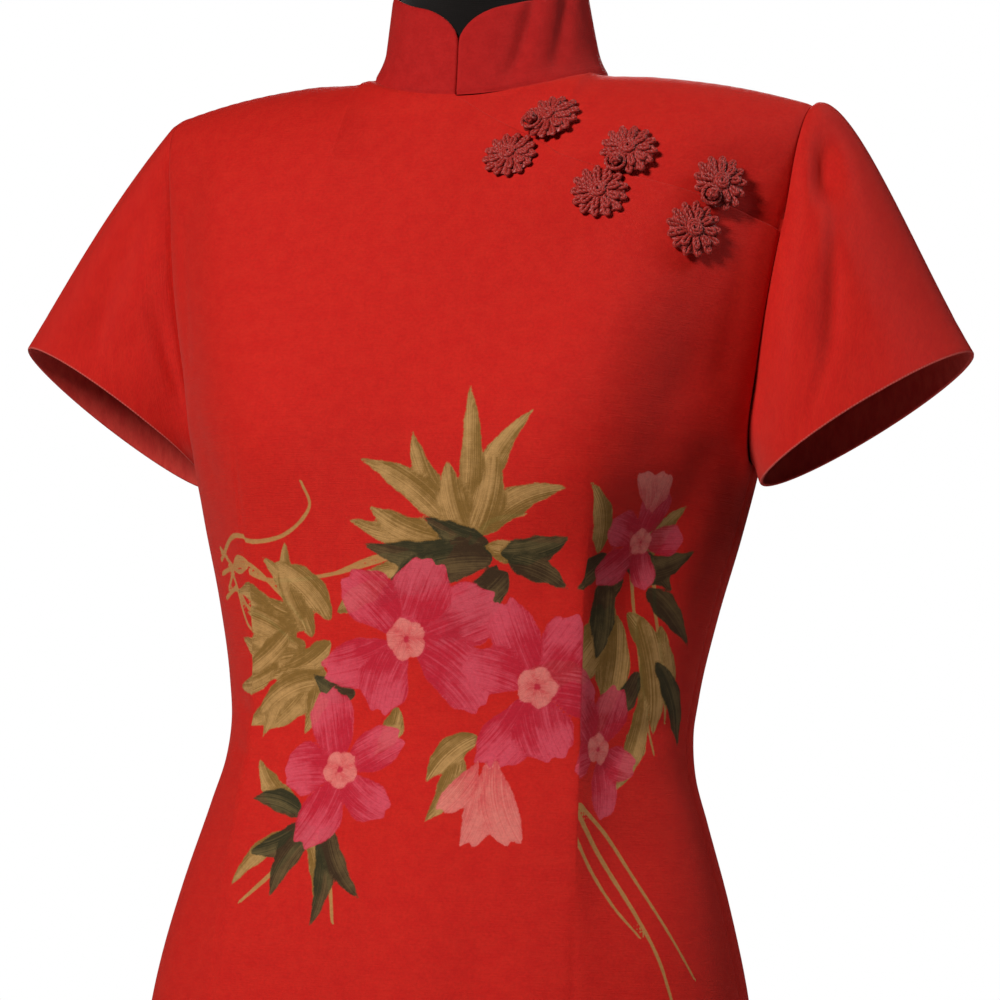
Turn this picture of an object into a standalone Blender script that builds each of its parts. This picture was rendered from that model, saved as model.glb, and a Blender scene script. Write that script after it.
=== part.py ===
"""A short-sleeved cheongsam on a dress form, in metres, +Z up, the front facing -Y.

The dress is cloth: each panel is a grid of points on one figure, with a second grid one cloth thickness outside it.
The dress form is the same figure made smaller. The origin is on the floor, under the form's pole.
Wearer's left is +X. Every function here takes numbers or arrays of them.
"""

import math
from collections import namedtuple

import bmesh
import bpy
import numpy as np

# ---- Driving dimensions ----------------------------------------------------------------

CLOTH = 0.0015  # one layer of cloth
COLLAR_CLOTH = 0.0024  # the collar's stiffened double layer
SEAM = 0.0003  # what two pieces keep between them

HEM_Z = 0.430
SLIT_TOP_Z = 0.660
SLIT_HALF_WIDTH = 0.006  # at the hem
WAIST_Z = 1.031
BUST_Z = 1.195
UNDERARM_Z = 1.188
SHOULDER_TIP_Z = 1.396
SHOULDER_NECK_Z = 1.418
SHOULDER_TIP_X = 0.198
SHOULDER_FULLNESS = 0.0035  # how far the shoulder line rises over a straight one

NECK_HALF_WIDTH = 0.069
NECK_FRONT = 0.064  # neckline in front of the shoulder line
NECK_BACK = 0.056
NECK_FRONT_DROP = 0.0235
NECK_BACK_RISE = 0.018

ARMHOLE_HALF_DEPTH = 0.046
SHOULDER_ROLL = 0.075  # height over which the cloth turns down from the shoulder seam
SQUARENESS = 2.2  # exponent of the figure's level sections
BUST_X, BUST_SWELL = 0.086, 0.012
BUST_SPREAD_X, BUST_SPREAD_Z = 0.050, 0.055
DART_CORNER, DART_REACH = 0.0055, 0.050  # how far the darts stand out, and over what width

COLLAR_HEIGHT, COLLAR_FRONT_HEIGHT = 0.052, 0.031
COLLAR_CORNER = 0.030  # arc length over which the front corner is rounded off
COLLAR_LEAN, COLLAR_TILT = 0.145, -0.0035  # how much narrower and how far to one side the collar is at its top

FLAP_UNDER = 0.14  # share of the armhole's height by which the flap goes under the front
FLAP_GAP = 0.0010
FLOWER_GAP = 0.0007
FLOWER_RADIUS, FLOWER_PETALS, FLOWER_EDGE = 0.0158, 12, 0.0033
KNOT_RADIUS = 0.0038

FORM_BOTTOM_Z = 0.740
FORM_NECK_TOP_Z = 1.500
FORM_SHARE = 0.985  # the form's edges stop short of the side seams and armholes
FORM_UNDER = 0.016  # how far the form's rounded underside drops
FORM_NECK_DROP, FORM_NECK_SCALE, FORM_NECK_FIT = 0.0030, 0.930, 0.985  # keep the neck inside the collar
CAP_HEIGHT = 0.008
POLE_RADIUS = 0.0125
BASE_RADIUS, BASE_THICKNESS, HUB_RADIUS, HUB_TOP = 0.190, 0.012, 0.028, 0.050

# ---- The figure: half width, depth in front and depth behind, level by level ------------

Level = namedtuple("Level", "z width front back dart")
FIGURE_LEVELS = (
    Level(0.430, 0.1750, 0.1120, 0.1180, 0.106),  # hem
    Level(0.640, 0.1785, 0.1150, 0.1250, 0.107),  # thigh
    Level(0.830, 0.1800, 0.1180, 0.1300, 0.107),  # hip
    Level(0.878, 0.1738, 0.1170, 0.1270, 0.1055),
    Level(0.936, 0.1598, 0.1130, 0.1150, 0.1020),
    Level(0.984, 0.1450, 0.1070, 0.1010, 0.0988),
    Level(1.008, 0.1378, 0.1030, 0.0930, 0.0972),
    Level(1.031, 0.1356, 0.1005, 0.0870, 0.0962),  # waist
    Level(1.056, 0.1382, 0.1015, 0.0850, 0.0965),
    Level(1.101, 0.1472, 0.1070, 0.0900, 0.0985),  # midriff
    Level(1.150, 0.1597, 0.1150, 0.0980, 0.103),
    Level(1.195, 0.1695, 0.1200, 0.1030, 0.104),  # bust
    Level(1.260, 0.1780, 0.1120, 0.1060, 0.106),
    Level(1.320, 0.1860, 0.0960, 0.1020, 0.108),
    Level(1.370, 0.1930, 0.0800, 0.0900, 0.110),
    Level(1.440, 0.1980, 0.0660, 0.0720, 0.112),  # above the shoulders
)

# Soft folds of the panels: a line from (x1, z1) to (x2, z2), its half width, and its height out of the cloth.
Fold = namedtuple("Fold", "x1 z1 x2 z2 width height")
FRONT_FOLDS = (
    Fold(0.168, 1.350, 0.150, 1.225, 0.016, -0.0060),  # left armhole, down to the bust
    Fold(0.150, 1.160, 0.118, 1.110, 0.012, -0.0025),  # under the left bust
    Fold(-0.160, 1.300, -0.150, 1.215, 0.014, -0.0035),  # right armhole
    Fold(0.120, 0.960, 0.140, 0.780, 0.022, -0.0030),  # skirt, left
    Fold(-0.130, 0.930, -0.150, 0.760, 0.022, -0.0025),  # skirt, right
)
BACK_FOLDS = (
    Fold(-0.060, 1.060, 0.060, 1.050, 0.014, -0.0030),  # small of the back
    Fold(-0.150, 1.330, -0.140, 1.230, 0.016, -0.0030),
    Fold(0.150, 1.330, 0.140, 1.230, 0.016, -0.0030),
)

# Shares of a panel's half width at which its main lines run: the neck's side point, then the dart.
NECK_SHARE, DART_SHARE = 6 / 14, 9 / 14
DART_TOP_X = 0.128  # where the dart's line would meet the shoulder seam
HALF_COLUMNS = 14
LOW_RISES = (
    *np.linspace(HEM_Z, SLIT_TOP_Z, 5)[:-1],
    *np.linspace(SLIT_TOP_Z, 0.960, 8)[:-1],
    *np.linspace(0.960, UNDERARM_Z, 9),
)
HIGH_RISES = (0.10, 0.23, 0.36, 0.50, 0.636, 0.772, 0.870, 0.945, 0.9876, 1.0)

# The slanting opening: the top edge of the front panel on the wearer's left, as shares of the armhole's height.
Opening = namedtuple("Opening", "share rise")
OPENING = (
    Opening(0.00, 1.000),
    Opening(0.15, 0.880),
    Opening(0.33, 0.765),
    Opening(0.51, 0.706),
    Opening(0.73, 0.668),
    Opening(1.00, 0.625),
)

# The cuffs: the tip at the top, the point at the underarm, how far the hem hangs lower behind than in front,
# in which direction the cap leaves the shoulder's tip, and how straight the sleeve runs into its hem.
Cuff = namedtuple("Cuff", "tip_x tip_y tip_z under_x under_y under_z half_depth back_drop leave_x leave_z settle")
CUFFS = {
    -1: Cuff(0.2877, -0.005, 1.2474, 0.177, 0.008, 1.180, 0.0477, 0.0187, 0.76, -0.907, 0.813),
    1: Cuff(0.2926, 0.0017, 1.2523, 0.176, 0.002, 1.177, 0.0498, -0.0015, 0.324, 0.21, 1.025),
}
# Soft folds of the sleeves: angle round from the top (front is a quarter turn), share down, sizes and depth.
SleeveFold = namedtuple("SleeveFold", "angle down angle_width down_width slant height")
SLEEVE_FOLDS = {
    -1: (SleeveFold(1.10, 0.25, 0.25, 0.22, 0.3, -0.0050), SleeveFold(1.35, 0.72, 0.22, 0.25, -0.2, -0.0040)),
    1: (SleeveFold(0.75, 0.30, 0.20, 0.20, 0.5, -0.0050), SleeveFold(1.35, 0.60, 0.25, 0.28, -0.3, -0.0045)),
}
SLEEVE_COLUMNS = 36
SLEEVE_ROWS = (0, 0.05, 0.15, 0.27, 0.4, 0.55, 0.7, 0.85, 1)

# The frogs, from the neck down to the armhole: where each flower and its knot lie on the front.
Frog = namedtuple("Frog", "upper_x upper_z knot_x knot_z knot_sink lower_x lower_z")
FROGS = (
    Frog(0.0596, 1.3795, 0.0507, 1.3725, 0.0000, 0.0418, 1.3526),
    Frog(0.1116, 1.3588, 0.1035, 1.3470, 0.0008, 0.0966, 1.3302),
    Frog(0.1610, 1.3408, 0.1535, 1.3310, 0.0002, 0.1472, 1.3112),
)

# A flower's rings, from its underside to its middle, as shares of its radius, its petals and its edge height.
FlowerRing = namedtuple("FlowerRing", "radius petals lift")
FLOWER_RINGS = (
    FlowerRing(0.93, 1.0, 0.0),
    FlowerRing(1.00, 1.0, 0.4),
    FlowerRing(0.97, 1.0, 0.8),
    FlowerRing(0.80, 0.6, 1.0),
    FlowerRing(0.45, 0.0, 1.0),
    FlowerRing(0.22, 0.0, 1.35),
)

# ---- Curves read from tables --------------------------------------------------------------


def smooth_rows(table):
    """A function that reads a smooth row of the table at any value of its first column."""
    rows = np.array(table)
    keys = rows[:, 0]
    slopes = np.gradient(rows, keys, axis=0)
    kind = type(table[0])

    def read(key):
        key = np.clip(key, keys[0], keys[-1])
        i = np.clip(np.searchsorted(keys, key, side="right") - 1, 0, len(keys) - 2)
        span = keys[i + 1] - keys[i]
        t = np.asarray((key - keys[i]) / span)[..., None]
        span = np.asarray(span)[..., None]
        start = (1 + 2 * t) * (1 - t) ** 2 * rows[i] + t * (1 - t) ** 2 * span * slopes[i]
        end = t * t * (3 - 2 * t) * rows[i + 1] + t * t * (t - 1) * span * slopes[i + 1]
        return kind(*np.moveaxis(start + end, -1, 0))

    return read


def mix(a, b, share):
    return a + (b - a) * share


def ease(share):
    """0 to 1 with level ends."""
    share = np.clip(share, 0, 1)
    return share * share * (3 - 2 * share)


figure = smooth_rows(FIGURE_LEVELS)
opening = smooth_rows(OPENING)

# ---- The figure's surface ---------------------------------------------------------------------


def shoulder_z(x):
    """Height of the shoulder line at x. It is a little full, most of all towards the tip."""
    share = np.clip((abs(x) - NECK_HALF_WIDTH) / (SHOULDER_TIP_X - NECK_HALF_WIDTH), 0, 1)
    return mix(SHOULDER_NECK_Z, SHOULDER_TIP_Z, share) + SHOULDER_FULLNESS * np.sin(math.pi * share**1.3)


def neck_away(x):
    """1 in the middle of the neckline, 0 at its side points and beyond."""
    return np.sqrt(np.maximum(0, 1 - (x / NECK_HALF_WIDTH) ** 2))


def neck_lift(away, side):
    return (-NECK_FRONT_DROP if side < 0 else NECK_BACK_RISE) * away**1.5


def neck_reach(side):
    return NECK_FRONT if side < 0 else NECK_BACK


def shoulder_roll(x, z, side):
    """0 on the neckline and the shoulder line, 1 where the cloth hangs."""
    top = np.where(abs(x) < NECK_HALF_WIDTH, SHOULDER_NECK_Z + neck_lift(neck_away(x), side), shoulder_z(x))
    below = np.clip((top - z) / SHOULDER_ROLL, 0, 1)
    return mix(np.sqrt(1 - (1 - below) ** 2), 1 - (1 - below) ** 1.5, neck_away(x) ** 2)


def edge_x(z):
    """Half width of a panel: the side seam, then the armhole."""
    share = np.clip((z - UNDERARM_Z) / (SHOULDER_TIP_Z - UNDERARM_Z), 0, 1)
    return np.where(z <= UNDERARM_Z, figure(z).width, mix(figure(UNDERARM_Z).width, SHOULDER_TIP_X, share))


def armhole_depth(z):
    """How far the armhole's edge lies from the plane of the side seams."""
    middle, half = (SHOULDER_TIP_Z + UNDERARM_Z) / 2, (SHOULDER_TIP_Z - UNDERARM_Z) / 2
    return ARMHOLE_HALF_DEPTH * np.sqrt(np.maximum(0, 1 - ((z - middle) / half) ** 2))


def section_width(z, side):
    """Half width of the whole level section, which the armhole cuts off above the underarm."""
    width = edge_x(z)
    high = np.clip(z, UNDERARM_Z, SHOULDER_TIP_Z - 0.001)
    at = figure(high)
    reach = (at.front if side < 0 else at.back) * shoulder_roll(edge_x(high), high, side)
    share = np.minimum(armhole_depth(high) / reach, 0.95)
    return width / (1 - share**SQUARENESS) ** (1 / SQUARENESS)


def bust(x, z):
    across = (abs(x) - BUST_X) / BUST_SPREAD_X
    up = (z - BUST_Z) / BUST_SPREAD_Z
    return BUST_SWELL * np.exp(-across * across - up * up)


def dart_corner(x, z):
    """The corner along each long dart, sharpest at the waist and gone at the bust and the hip."""
    above = 1 - ease((z - WAIST_Z) / (BUST_Z - 0.012 - WAIST_Z))
    below = 1 - 0.6 * ease((WAIST_Z - z) / 0.12) - 0.4 * ease((WAIST_Z - z - 0.12) / 0.14)
    away = abs(abs(x) - figure(z).dart) / DART_REACH
    return DART_CORNER * np.where(z > WAIST_Z, above, below) * np.maximum(0, 1 - away)


def folds(table, x, z):
    total = 0.0
    for fold in table:
        along_x, along_z = fold.x2 - fold.x1, fold.z2 - fold.z1
        length = math.hypot(along_x, along_z)
        along = ((x - fold.x1) * along_x + (z - fold.z1) * along_z) / length
        across = ((x - fold.x1) * along_z - (z - fold.z1) * along_x) / length / fold.width
        past = np.maximum(0, abs(along - length / 2) - length / 2) / fold.width
        total = total + fold.height * np.exp(-across * across - past * past)
    return total


def depth(x, z, side):
    """How far the figure lies in front (side -1) or behind (side 1) of the plane of the side seams."""
    at = figure(z)
    across = np.maximum(0, 1 - (abs(x) / section_width(z, side)) ** SQUARENESS) ** (1 / SQUARENESS)
    reach = at.front if side < 0 else at.back
    swell = folds(FRONT_FOLDS if side < 0 else BACK_FOLDS, x, z)
    if side < 0:
        swell = swell + bust(x, z) + dart_corner(x, z)
    neck = neck_reach(side) * neck_away(x)
    return mix(neck, (reach + swell) * across, shoulder_roll(x, z, side))


# ---- A point of a panel from its share across and its rise --------------------------------------
# share runs from -1 (the wearer's right edge) to 1 (the left edge).
# rise is metres below the underarm where it is negative, and then the share of the way up, 0 to 1.


def neck_point(angle, side):
    """The neckline, by its angle from the middle (0) to the shoulder (a quarter turn)."""
    away = np.maximum(np.cos(angle), 0)
    x, y = NECK_HALF_WIDTH * np.sin(angle), side * neck_reach(side) * away
    return np.stack((x, y, SHOULDER_NECK_Z + neck_lift(away, side)), -1)


def low_x(share, z):
    """x at or below the underarm: even across the middle, then even round the side."""
    width, dart = figure(z).width, figure(z).dart
    start = np.arcsin((dart / width) ** (SQUARENESS / 2))
    turn = mix(start, math.pi / 2, np.clip((share - DART_SHARE) / (1 - DART_SHARE), 0, 1))
    return np.where(share <= DART_SHARE, dart * share / DART_SHARE, width * np.sin(turn) ** (2 / SQUARENESS))


def top_x(share):
    """x along the neckline and the shoulder seam."""
    neck = NECK_HALF_WIDTH * np.sin(math.pi / 2 * np.minimum(share / NECK_SHARE, 1))
    inner = mix(NECK_HALF_WIDTH, DART_TOP_X, (share - NECK_SHARE) / (DART_SHARE - NECK_SHARE))
    outer = mix(DART_TOP_X, SHOULDER_TIP_X, (share - DART_SHARE) / (1 - DART_SHARE))
    return np.select((share <= NECK_SHARE, share <= DART_SHARE), (neck, inner), outer)


def top_z(share, side):
    angle = math.pi / 2 * np.minimum(share / NECK_SHARE, 1)
    return np.where(share <= NECK_SHARE, neck_point(angle, side)[..., 2], shoulder_z(top_x(share)))


def panel_point(share, rise, side):
    """A point on the inside of the cloth."""
    share, rise = np.broadcast_arrays(np.asarray(share, float), rise)
    sign, share = np.sign(share), abs(share)
    up = np.clip(rise, 0, 1)
    z = np.where(rise <= 0, UNDERARM_Z + rise, mix(UNDERARM_Z, top_z(share, side), up))
    base = figure(UNDERARM_Z).width
    across = mix(low_x(share, UNDERARM_Z) / base, top_x(share) / SHOULDER_TIP_X, ease(up))
    x = np.where(rise <= 0, low_x(share, z), mix(base, SHOULDER_TIP_X, up) * across)
    slit = SLIT_HALF_WIDTH * np.clip((SLIT_TOP_Z - z) / (SLIT_TOP_Z - HEM_Z), 0, 1)
    y = np.hypot(depth(x, z, side), slit) + SEAM / 2
    return np.stack((sign * x, side * y, z), -1)


def outward(share, rise, side):
    """The cloth's outward direction at a point of a panel. Along a seam it lies in the seam's plane."""
    share, rise = np.broadcast_arrays(np.asarray(share, float), rise)
    step = np.where(rise > 0, 0.01, 0.002)
    low = np.maximum(rise - step, HEM_Z - UNDERARM_Z)
    high = np.minimum(rise + step, 1)
    right, left = np.minimum(share + 0.01, 1), np.maximum(share - 0.01, -1)
    across = panel_point(right, rise, side) - panel_point(left, rise, side)
    along = panel_point(share, high, side) - panel_point(share, low, side)
    normal = np.cross(across, along) * -side
    at_side = abs(share) > 0.999
    normal[..., 0] = np.where(at_side & (rise > 0), 0, normal[..., 0])
    normal[..., 1] = np.where((at_side & (rise <= 0)) | ((rise > 0.999) & (abs(share) > NECK_SHARE)), 0, normal[..., 1])
    return normal / np.linalg.norm(normal, axis=-1, keepdims=True)


def panel_at(x, z, side):
    """(share, rise) of the panel's point that has this x and z."""

    def rise_at(share):
        return np.where(z <= UNDERARM_Z, z - UNDERARM_Z, (z - UNDERARM_Z) / (top_z(share, side) - UNDERARM_Z))

    low, high = np.zeros_like(x), np.ones_like(x)
    for _ in range(30):
        middle = (low + high) / 2
        inside = panel_point(middle, np.minimum(rise_at(middle), 1), side)[..., 0] < abs(x)
        low, high = np.where(inside, middle, low), np.where(inside, high, middle)
    return np.copysign(low, x), np.minimum(rise_at(low), 1)


# ---- Meshes --------------------------------------------------------------------------------------


def piece(name, points, faces):
    """One closed mesh object, its faces turned outwards."""
    mesh = bpy.data.meshes.new(name)
    mesh.from_pydata(points.tolist(), [], faces)
    shape = bmesh.new()
    shape.from_mesh(mesh)
    bmesh.ops.remove_doubles(shape, verts=shape.verts, dist=5e-6)
    bmesh.ops.recalc_face_normals(shape, faces=shape.faces)
    shape.to_mesh(mesh)
    shape.free()
    obj = bpy.data.objects.new(name, mesh)
    bpy.context.scene.collection.objects.link(obj)
    return obj


def grid_faces(rows, columns, start=0, around=False):
    return [
        (
            start + row * columns + column,
            start + row * columns + (column + 1) % columns,
            start + (row + 1) * columns + (column + 1) % columns,
            start + (row + 1) * columns + column,
        )
        for row in range(rows - 1)
        for column in range(columns if around else columns - 1)
    ]


def shell(name, inside, outside, around=False):
    """A sheet between two equal grids of points. around joins the last column to the first."""
    rows, columns = inside.shape[:2]
    layer = rows * columns
    faces = grid_faces(rows, columns, 0, around) + grid_faces(rows, columns, layer, around)
    bottom, top = list(range(columns)), [(rows - 1) * columns + column for column in range(columns)]
    if around:
        rims = [bottom + bottom[:1], top + top[:1]]
    else:
        left, right = [row * columns for row in range(rows)], [row * columns + columns - 1 for row in range(rows)]
        rims = [bottom, top, left, right]
    for rim in rims:
        faces += [(a, b, b + layer, a + layer) for a, b in zip(rim, rim[1:])]
    return piece(name, np.concatenate((inside.reshape(-1, 3), outside.reshape(-1, 3))), faces)


def stack(name, rings):
    """A closed body through rings of points, each end closed by one flat face."""
    rings = np.asarray(rings)
    count, columns = rings.shape[:2]
    faces = grid_faces(count, columns, 0, True)
    faces += [tuple(range(columns)), tuple((count - 1) * columns + column for column in range(columns))]
    return piece(name, rings.reshape(-1, 3), faces)


def lathe(name, profile, columns):
    """A closed round body about Z through (radius, z) pairs, lowest first."""
    turn = np.arange(columns) * 2 * math.pi / columns
    return stack(name, [np.stack((r * np.cos(turn), r * np.sin(turn), np.full(columns, z)), -1) for r, z in profile])


# ---- The dress -------------------------------------------------------------------------------------


def panel(name, shares, rises, side, inset=0.0):
    """shares is one per column. rises is a grid, rows by columns."""
    shares, inset = np.broadcast_to(shares, rises.shape), np.reshape(inset, (*np.shape(inset), 1))
    base, normal = panel_point(shares, rises, side), outward(shares, rises, side)
    return shell(name, base - normal * inset, base + normal * (CLOTH - inset))


def opening_rise(share):
    """The front panel's top edge at this share: the neck and shoulder on the right, the opening on the left."""
    return np.where(share <= 0, 1.0, opening(np.maximum(share, 0)).rise)


def flap_inset(share, rise):
    """How far the flap lies inside the front's place: under the front it is clear of it, at the shoulder it is level."""
    return (CLOTH + FLAP_GAP) * (1 - ease((rise - opening_rise(share) - 0.02) / 0.12))


def build_panels():
    columns = np.linspace(-1, 1, 2 * HALF_COLUMNS + 1)
    low = np.array(LOW_RISES)[:, None] - UNDERARM_Z + 0 * columns
    high = np.array(HIGH_RISES)[:, None]
    panel("back", columns, np.concatenate((low, high + 0 * columns)), 1)
    panel("front", columns, np.concatenate((low, high * opening_rise(columns))), -1)
    flap_columns = columns[columns > -0.001]
    lower_edge = opening_rise(flap_columns) - FLAP_UNDER
    rows = np.array([0.0] + [rise for rise in HIGH_RISES if rise > lower_edge.min()])[:, None]
    rises = np.maximum(rows, lower_edge + 0.004 * np.arange(len(rows))[:, None])
    rises[-1] = 1
    inset = flap_inset(flap_columns, rises)
    panel("shoulder_flap", flap_columns, rises, -1, inset)


def sleeve_point(hand, angle, down):
    """A point on the inside of a sleeve: angle round from the top by way of the front, share down from the armhole."""
    cuff = CUFFS[hand]
    middle, half = (SHOULDER_TIP_Z + UNDERARM_Z) / 2, (SHOULDER_TIP_Z - UNDERARM_Z) / 2
    start_z = middle + half * np.cos(angle)
    past_side_seam = 1.15 * CLOTH * np.clip((-np.cos(angle) - 0.78) / 0.15, 0, 1)
    start = np.stack((edge_x(start_z) + SEAM + past_side_seam, -ARMHOLE_HALF_DEPTH * np.sin(angle), start_z), -1)
    tip, under = np.array((cuff.tip_x, cuff.tip_y, cuff.tip_z)), np.array((cuff.under_x, cuff.under_y, cuff.under_z))
    long_axis = (tip - under) / 2
    turned = np.stack((np.cos(angle), np.sin(angle)), -1)
    drop = cuff.back_drop * turned[..., 1]
    end = (tip + under) / 2 + turned[..., :1] * long_axis + np.stack((0 * drop, -cuff.half_depth * turned[..., 1], drop), -1)
    down_axis = np.cross(long_axis, (0, 1, 0))
    down_axis = down_axis / np.linalg.norm(down_axis) * np.copysign(1, -down_axis[2])
    high = (1 + turned[..., :1]) / 2  # 1 at the top, 0 at the underarm
    leave = mix(np.array((0.92, 0, -0.38)), np.array((cuff.leave_x, 0, cuff.leave_z)), high)
    length = np.linalg.norm(end - start, axis=-1, keepdims=True)
    t = np.asarray(down, float)[..., None]
    point = (1 + 2 * t) * (1 - t) ** 2 * start + t * t * (3 - 2 * t) * end
    point = point + length * (t * (1 - t) ** 2 * leave + t * t * (t - 1) * down_axis * cuff.settle)
    return point * (hand, 1, 1)


def sleeve_fold(hand, angle, down):
    total = 0.0
    for fold in SLEEVE_FOLDS[hand]:
        down_by = (down - fold.down) / fold.down_width
        around = (angle - fold.angle - fold.slant * (down - fold.down)) / fold.angle_width
        total = total + fold.height * np.exp(-around * around - down_by * down_by)
    return total


def sleeve_normal(hand, angle, down):
    around = sleeve_point(hand, angle + 0.01, down) - sleeve_point(hand, angle - 0.01, down)
    along = sleeve_point(hand, angle, np.minimum(down + 0.01, 1)) - sleeve_point(hand, angle, np.maximum(down - 0.01, 0))
    normal = np.cross(around, along) * hand
    normal[..., 0] = np.where(down <= 0, 0, normal[..., 0])
    return normal / np.linalg.norm(normal, axis=-1, keepdims=True)


def build_sleeve(name, hand):
    angle = np.arange(SLEEVE_COLUMNS) * 2 * math.pi / SLEEVE_COLUMNS
    down, angle = np.meshgrid(SLEEVE_ROWS, angle, indexing="ij")
    normal = sleeve_normal(hand, angle, down)
    inside = sleeve_point(hand, angle, down) + normal * sleeve_fold(hand, angle, down)[..., None]
    shell(name, inside, inside + normal * CLOTH, around=True)


def collar_point(turn, up, inset):
    """turn runs from -half a turn to half a turn about the front, up from 0 on the neckline to 1."""
    side_of = np.where(np.cos(turn) > 0, -1, 1)
    front, back = neck_point(abs(turn), -1), neck_point(math.pi - abs(turn), 1)
    ring = np.where((side_of < 0)[..., None], front, back)
    ring = ring * np.stack((np.sign(turn), np.ones_like(turn), np.ones_like(turn)), -1)
    arc = abs(turn) * (NECK_HALF_WIDTH + NECK_FRONT) / 2
    corner = np.clip(1 - arc / COLLAR_CORNER, 0, 1)
    height = COLLAR_HEIGHT - (COLLAR_HEIGHT - COLLAR_FRONT_HEIGHT) * (1 - np.sqrt(1 - corner**2))
    out = ring[..., :2] / np.linalg.norm(ring[..., :2], axis=-1, keepdims=True)
    risen = up * height / COLLAR_HEIGHT
    flat = ring[..., :2] * (1 - COLLAR_LEAN * risen**0.75)[..., None] - out * inset
    flat = flat + risen[..., None] * (COLLAR_TILT, 0)
    return np.concatenate((flat, (ring[..., 2] + SEAM + up * height)[..., None]), -1)


def build_collar():
    end = SEAM / 2 / NECK_FRONT  # keeps the two front ends apart
    corner = np.linspace(end, COLLAR_CORNER / NECK_FRONT, 8)[:-1]
    half = np.concatenate((corner, np.linspace(COLLAR_CORNER / NECK_FRONT, math.pi, 16)))
    turn = np.concatenate((half, -half[-2::-1]))
    up, turn = np.meshgrid(np.linspace(0, 1, 5), turn, indexing="ij")
    shell("collar", collar_point(turn, up, 3 * SEAM + COLLAR_CLOTH), collar_point(turn, up, 3 * SEAM))


def cloth_top(share, rise):
    """Where a flower's underside lies: over the front, or over the flap where the front is cut away."""
    past_edge = (rise - opening_rise(share) - 0.02) / 0.05
    return mix(CLOTH, CLOTH - flap_inset(share, rise), ease(past_edge)) + FLOWER_GAP


def build_flower(name, x, z):
    """A frog's flower: coiled cord in a ring of small petals."""
    share, rise = panel_at(np.array([x]), np.array([z]), -1)
    centre, normal = panel_point(share, rise, -1)[0], outward(share, rise, -1)[0]
    across = np.cross((0, 0, 1), normal)
    across /= np.linalg.norm(across)
    along = np.cross(normal, across)
    turn = np.arange(2 * FLOWER_PETALS) * math.pi / FLOWER_PETALS
    petal = np.where(np.arange(2 * FLOWER_PETALS) % 2, 0.93, 1.04)
    layers = []
    for ring in FLOWER_RINGS:
        r = FLOWER_RADIUS * ring.radius * mix(1.0, petal, ring.petals)
        target = centre + r[:, None] * (np.cos(turn)[:, None] * across + np.sin(turn)[:, None] * along)
        found = panel_at(target[:, 0], target[:, 2], -1)
        top = CLOTH + FLOWER_GAP + FLOWER_EDGE * ring.lift
        lift = cloth_top(*found) if ring.lift == 0 else top
        layers.append(panel_point(*found, -1) + outward(*found, -1) * np.reshape(lift, (-1, 1)))
    stack(name, layers)


def build_knot(name, x, z, sink):
    """The ball knot that fastens a pair, on the rims of its two flowers."""
    share, rise = panel_at(np.array([x]), np.array([z]), -1)
    lift = CLOTH + FLOWER_GAP + FLOWER_EDGE - sink + KNOT_RADIUS
    centre = panel_point(share, rise, -1)[0] + outward(share, rise, -1)[0] * lift
    turn = np.arange(12) * math.pi / 6
    rings = []
    for tilt in np.linspace(-0.42, 0.42, 7) * math.pi:
        r, up = KNOT_RADIUS * math.cos(tilt), KNOT_RADIUS * math.sin(tilt)
        rings.append(centre + np.stack((r * np.cos(turn), r * np.sin(turn), np.full(12, up)), -1))
    stack(name, rings)


def build_frogs():
    for number, frog in enumerate(FROGS, 1):
        build_flower(f"frog_{number}_upper", frog.upper_x, frog.upper_z)
        build_flower(f"frog_{number}_lower", frog.lower_x, frog.lower_z)
        build_knot(f"frog_{number}_knot", frog.knot_x, frog.knot_z, frog.knot_sink)


# ---- The dress form and its stand ---------------------------------------------------------------------


def form_gap(share, rise, side):
    """How far the form lies inside the cloth: close at the shoulders, loose round the waist and the hip."""
    height = np.where(rise <= 0, 0, rise)
    gap = mix(0.0055, 0.0014, ease((height - 0.6) / 0.4))
    under_collar = np.where(abs(share) < NECK_SHARE + 0.01, 0.0020, 0.0) * ease((height - 0.8) / 0.14)
    under_flap = (CLOTH + FLAP_GAP) * ease((share + 0.15) / 0.12) if side < 0 else 0.0
    return gap + under_flap + under_collar


def form_ring(rise):
    """Once round the form at one rise: the front from right to left, then the back from left to right."""
    columns = np.linspace(-1, 1, 2 * HALF_COLUMNS + 1)
    rings = []
    for side, shares in ((-1, columns), (1, columns[::-1])):
        stop = np.where(abs(shares) > 0.99, FORM_SHARE * shares, shares)
        point = panel_point(stop, rise, side)
        if rise < 1:
            point = point - outward(stop, rise, side) * form_gap(shares, rise, side)[..., None]
        else:
            on_shoulder, on_neck = abs(shares) > NECK_SHARE - 0.01, abs(shares) < NECK_SHARE + 0.01
            point[:, 2] -= np.where(on_neck, FORM_NECK_DROP, form_gap(shares, rise, -1))
            point[:, 0] *= np.where(on_neck, FORM_NECK_SCALE, 1)
            point[:, 1] *= np.where(on_shoulder, 0, FORM_NECK_SCALE)
        rings.append(point)
    return np.concatenate(rings)


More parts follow.
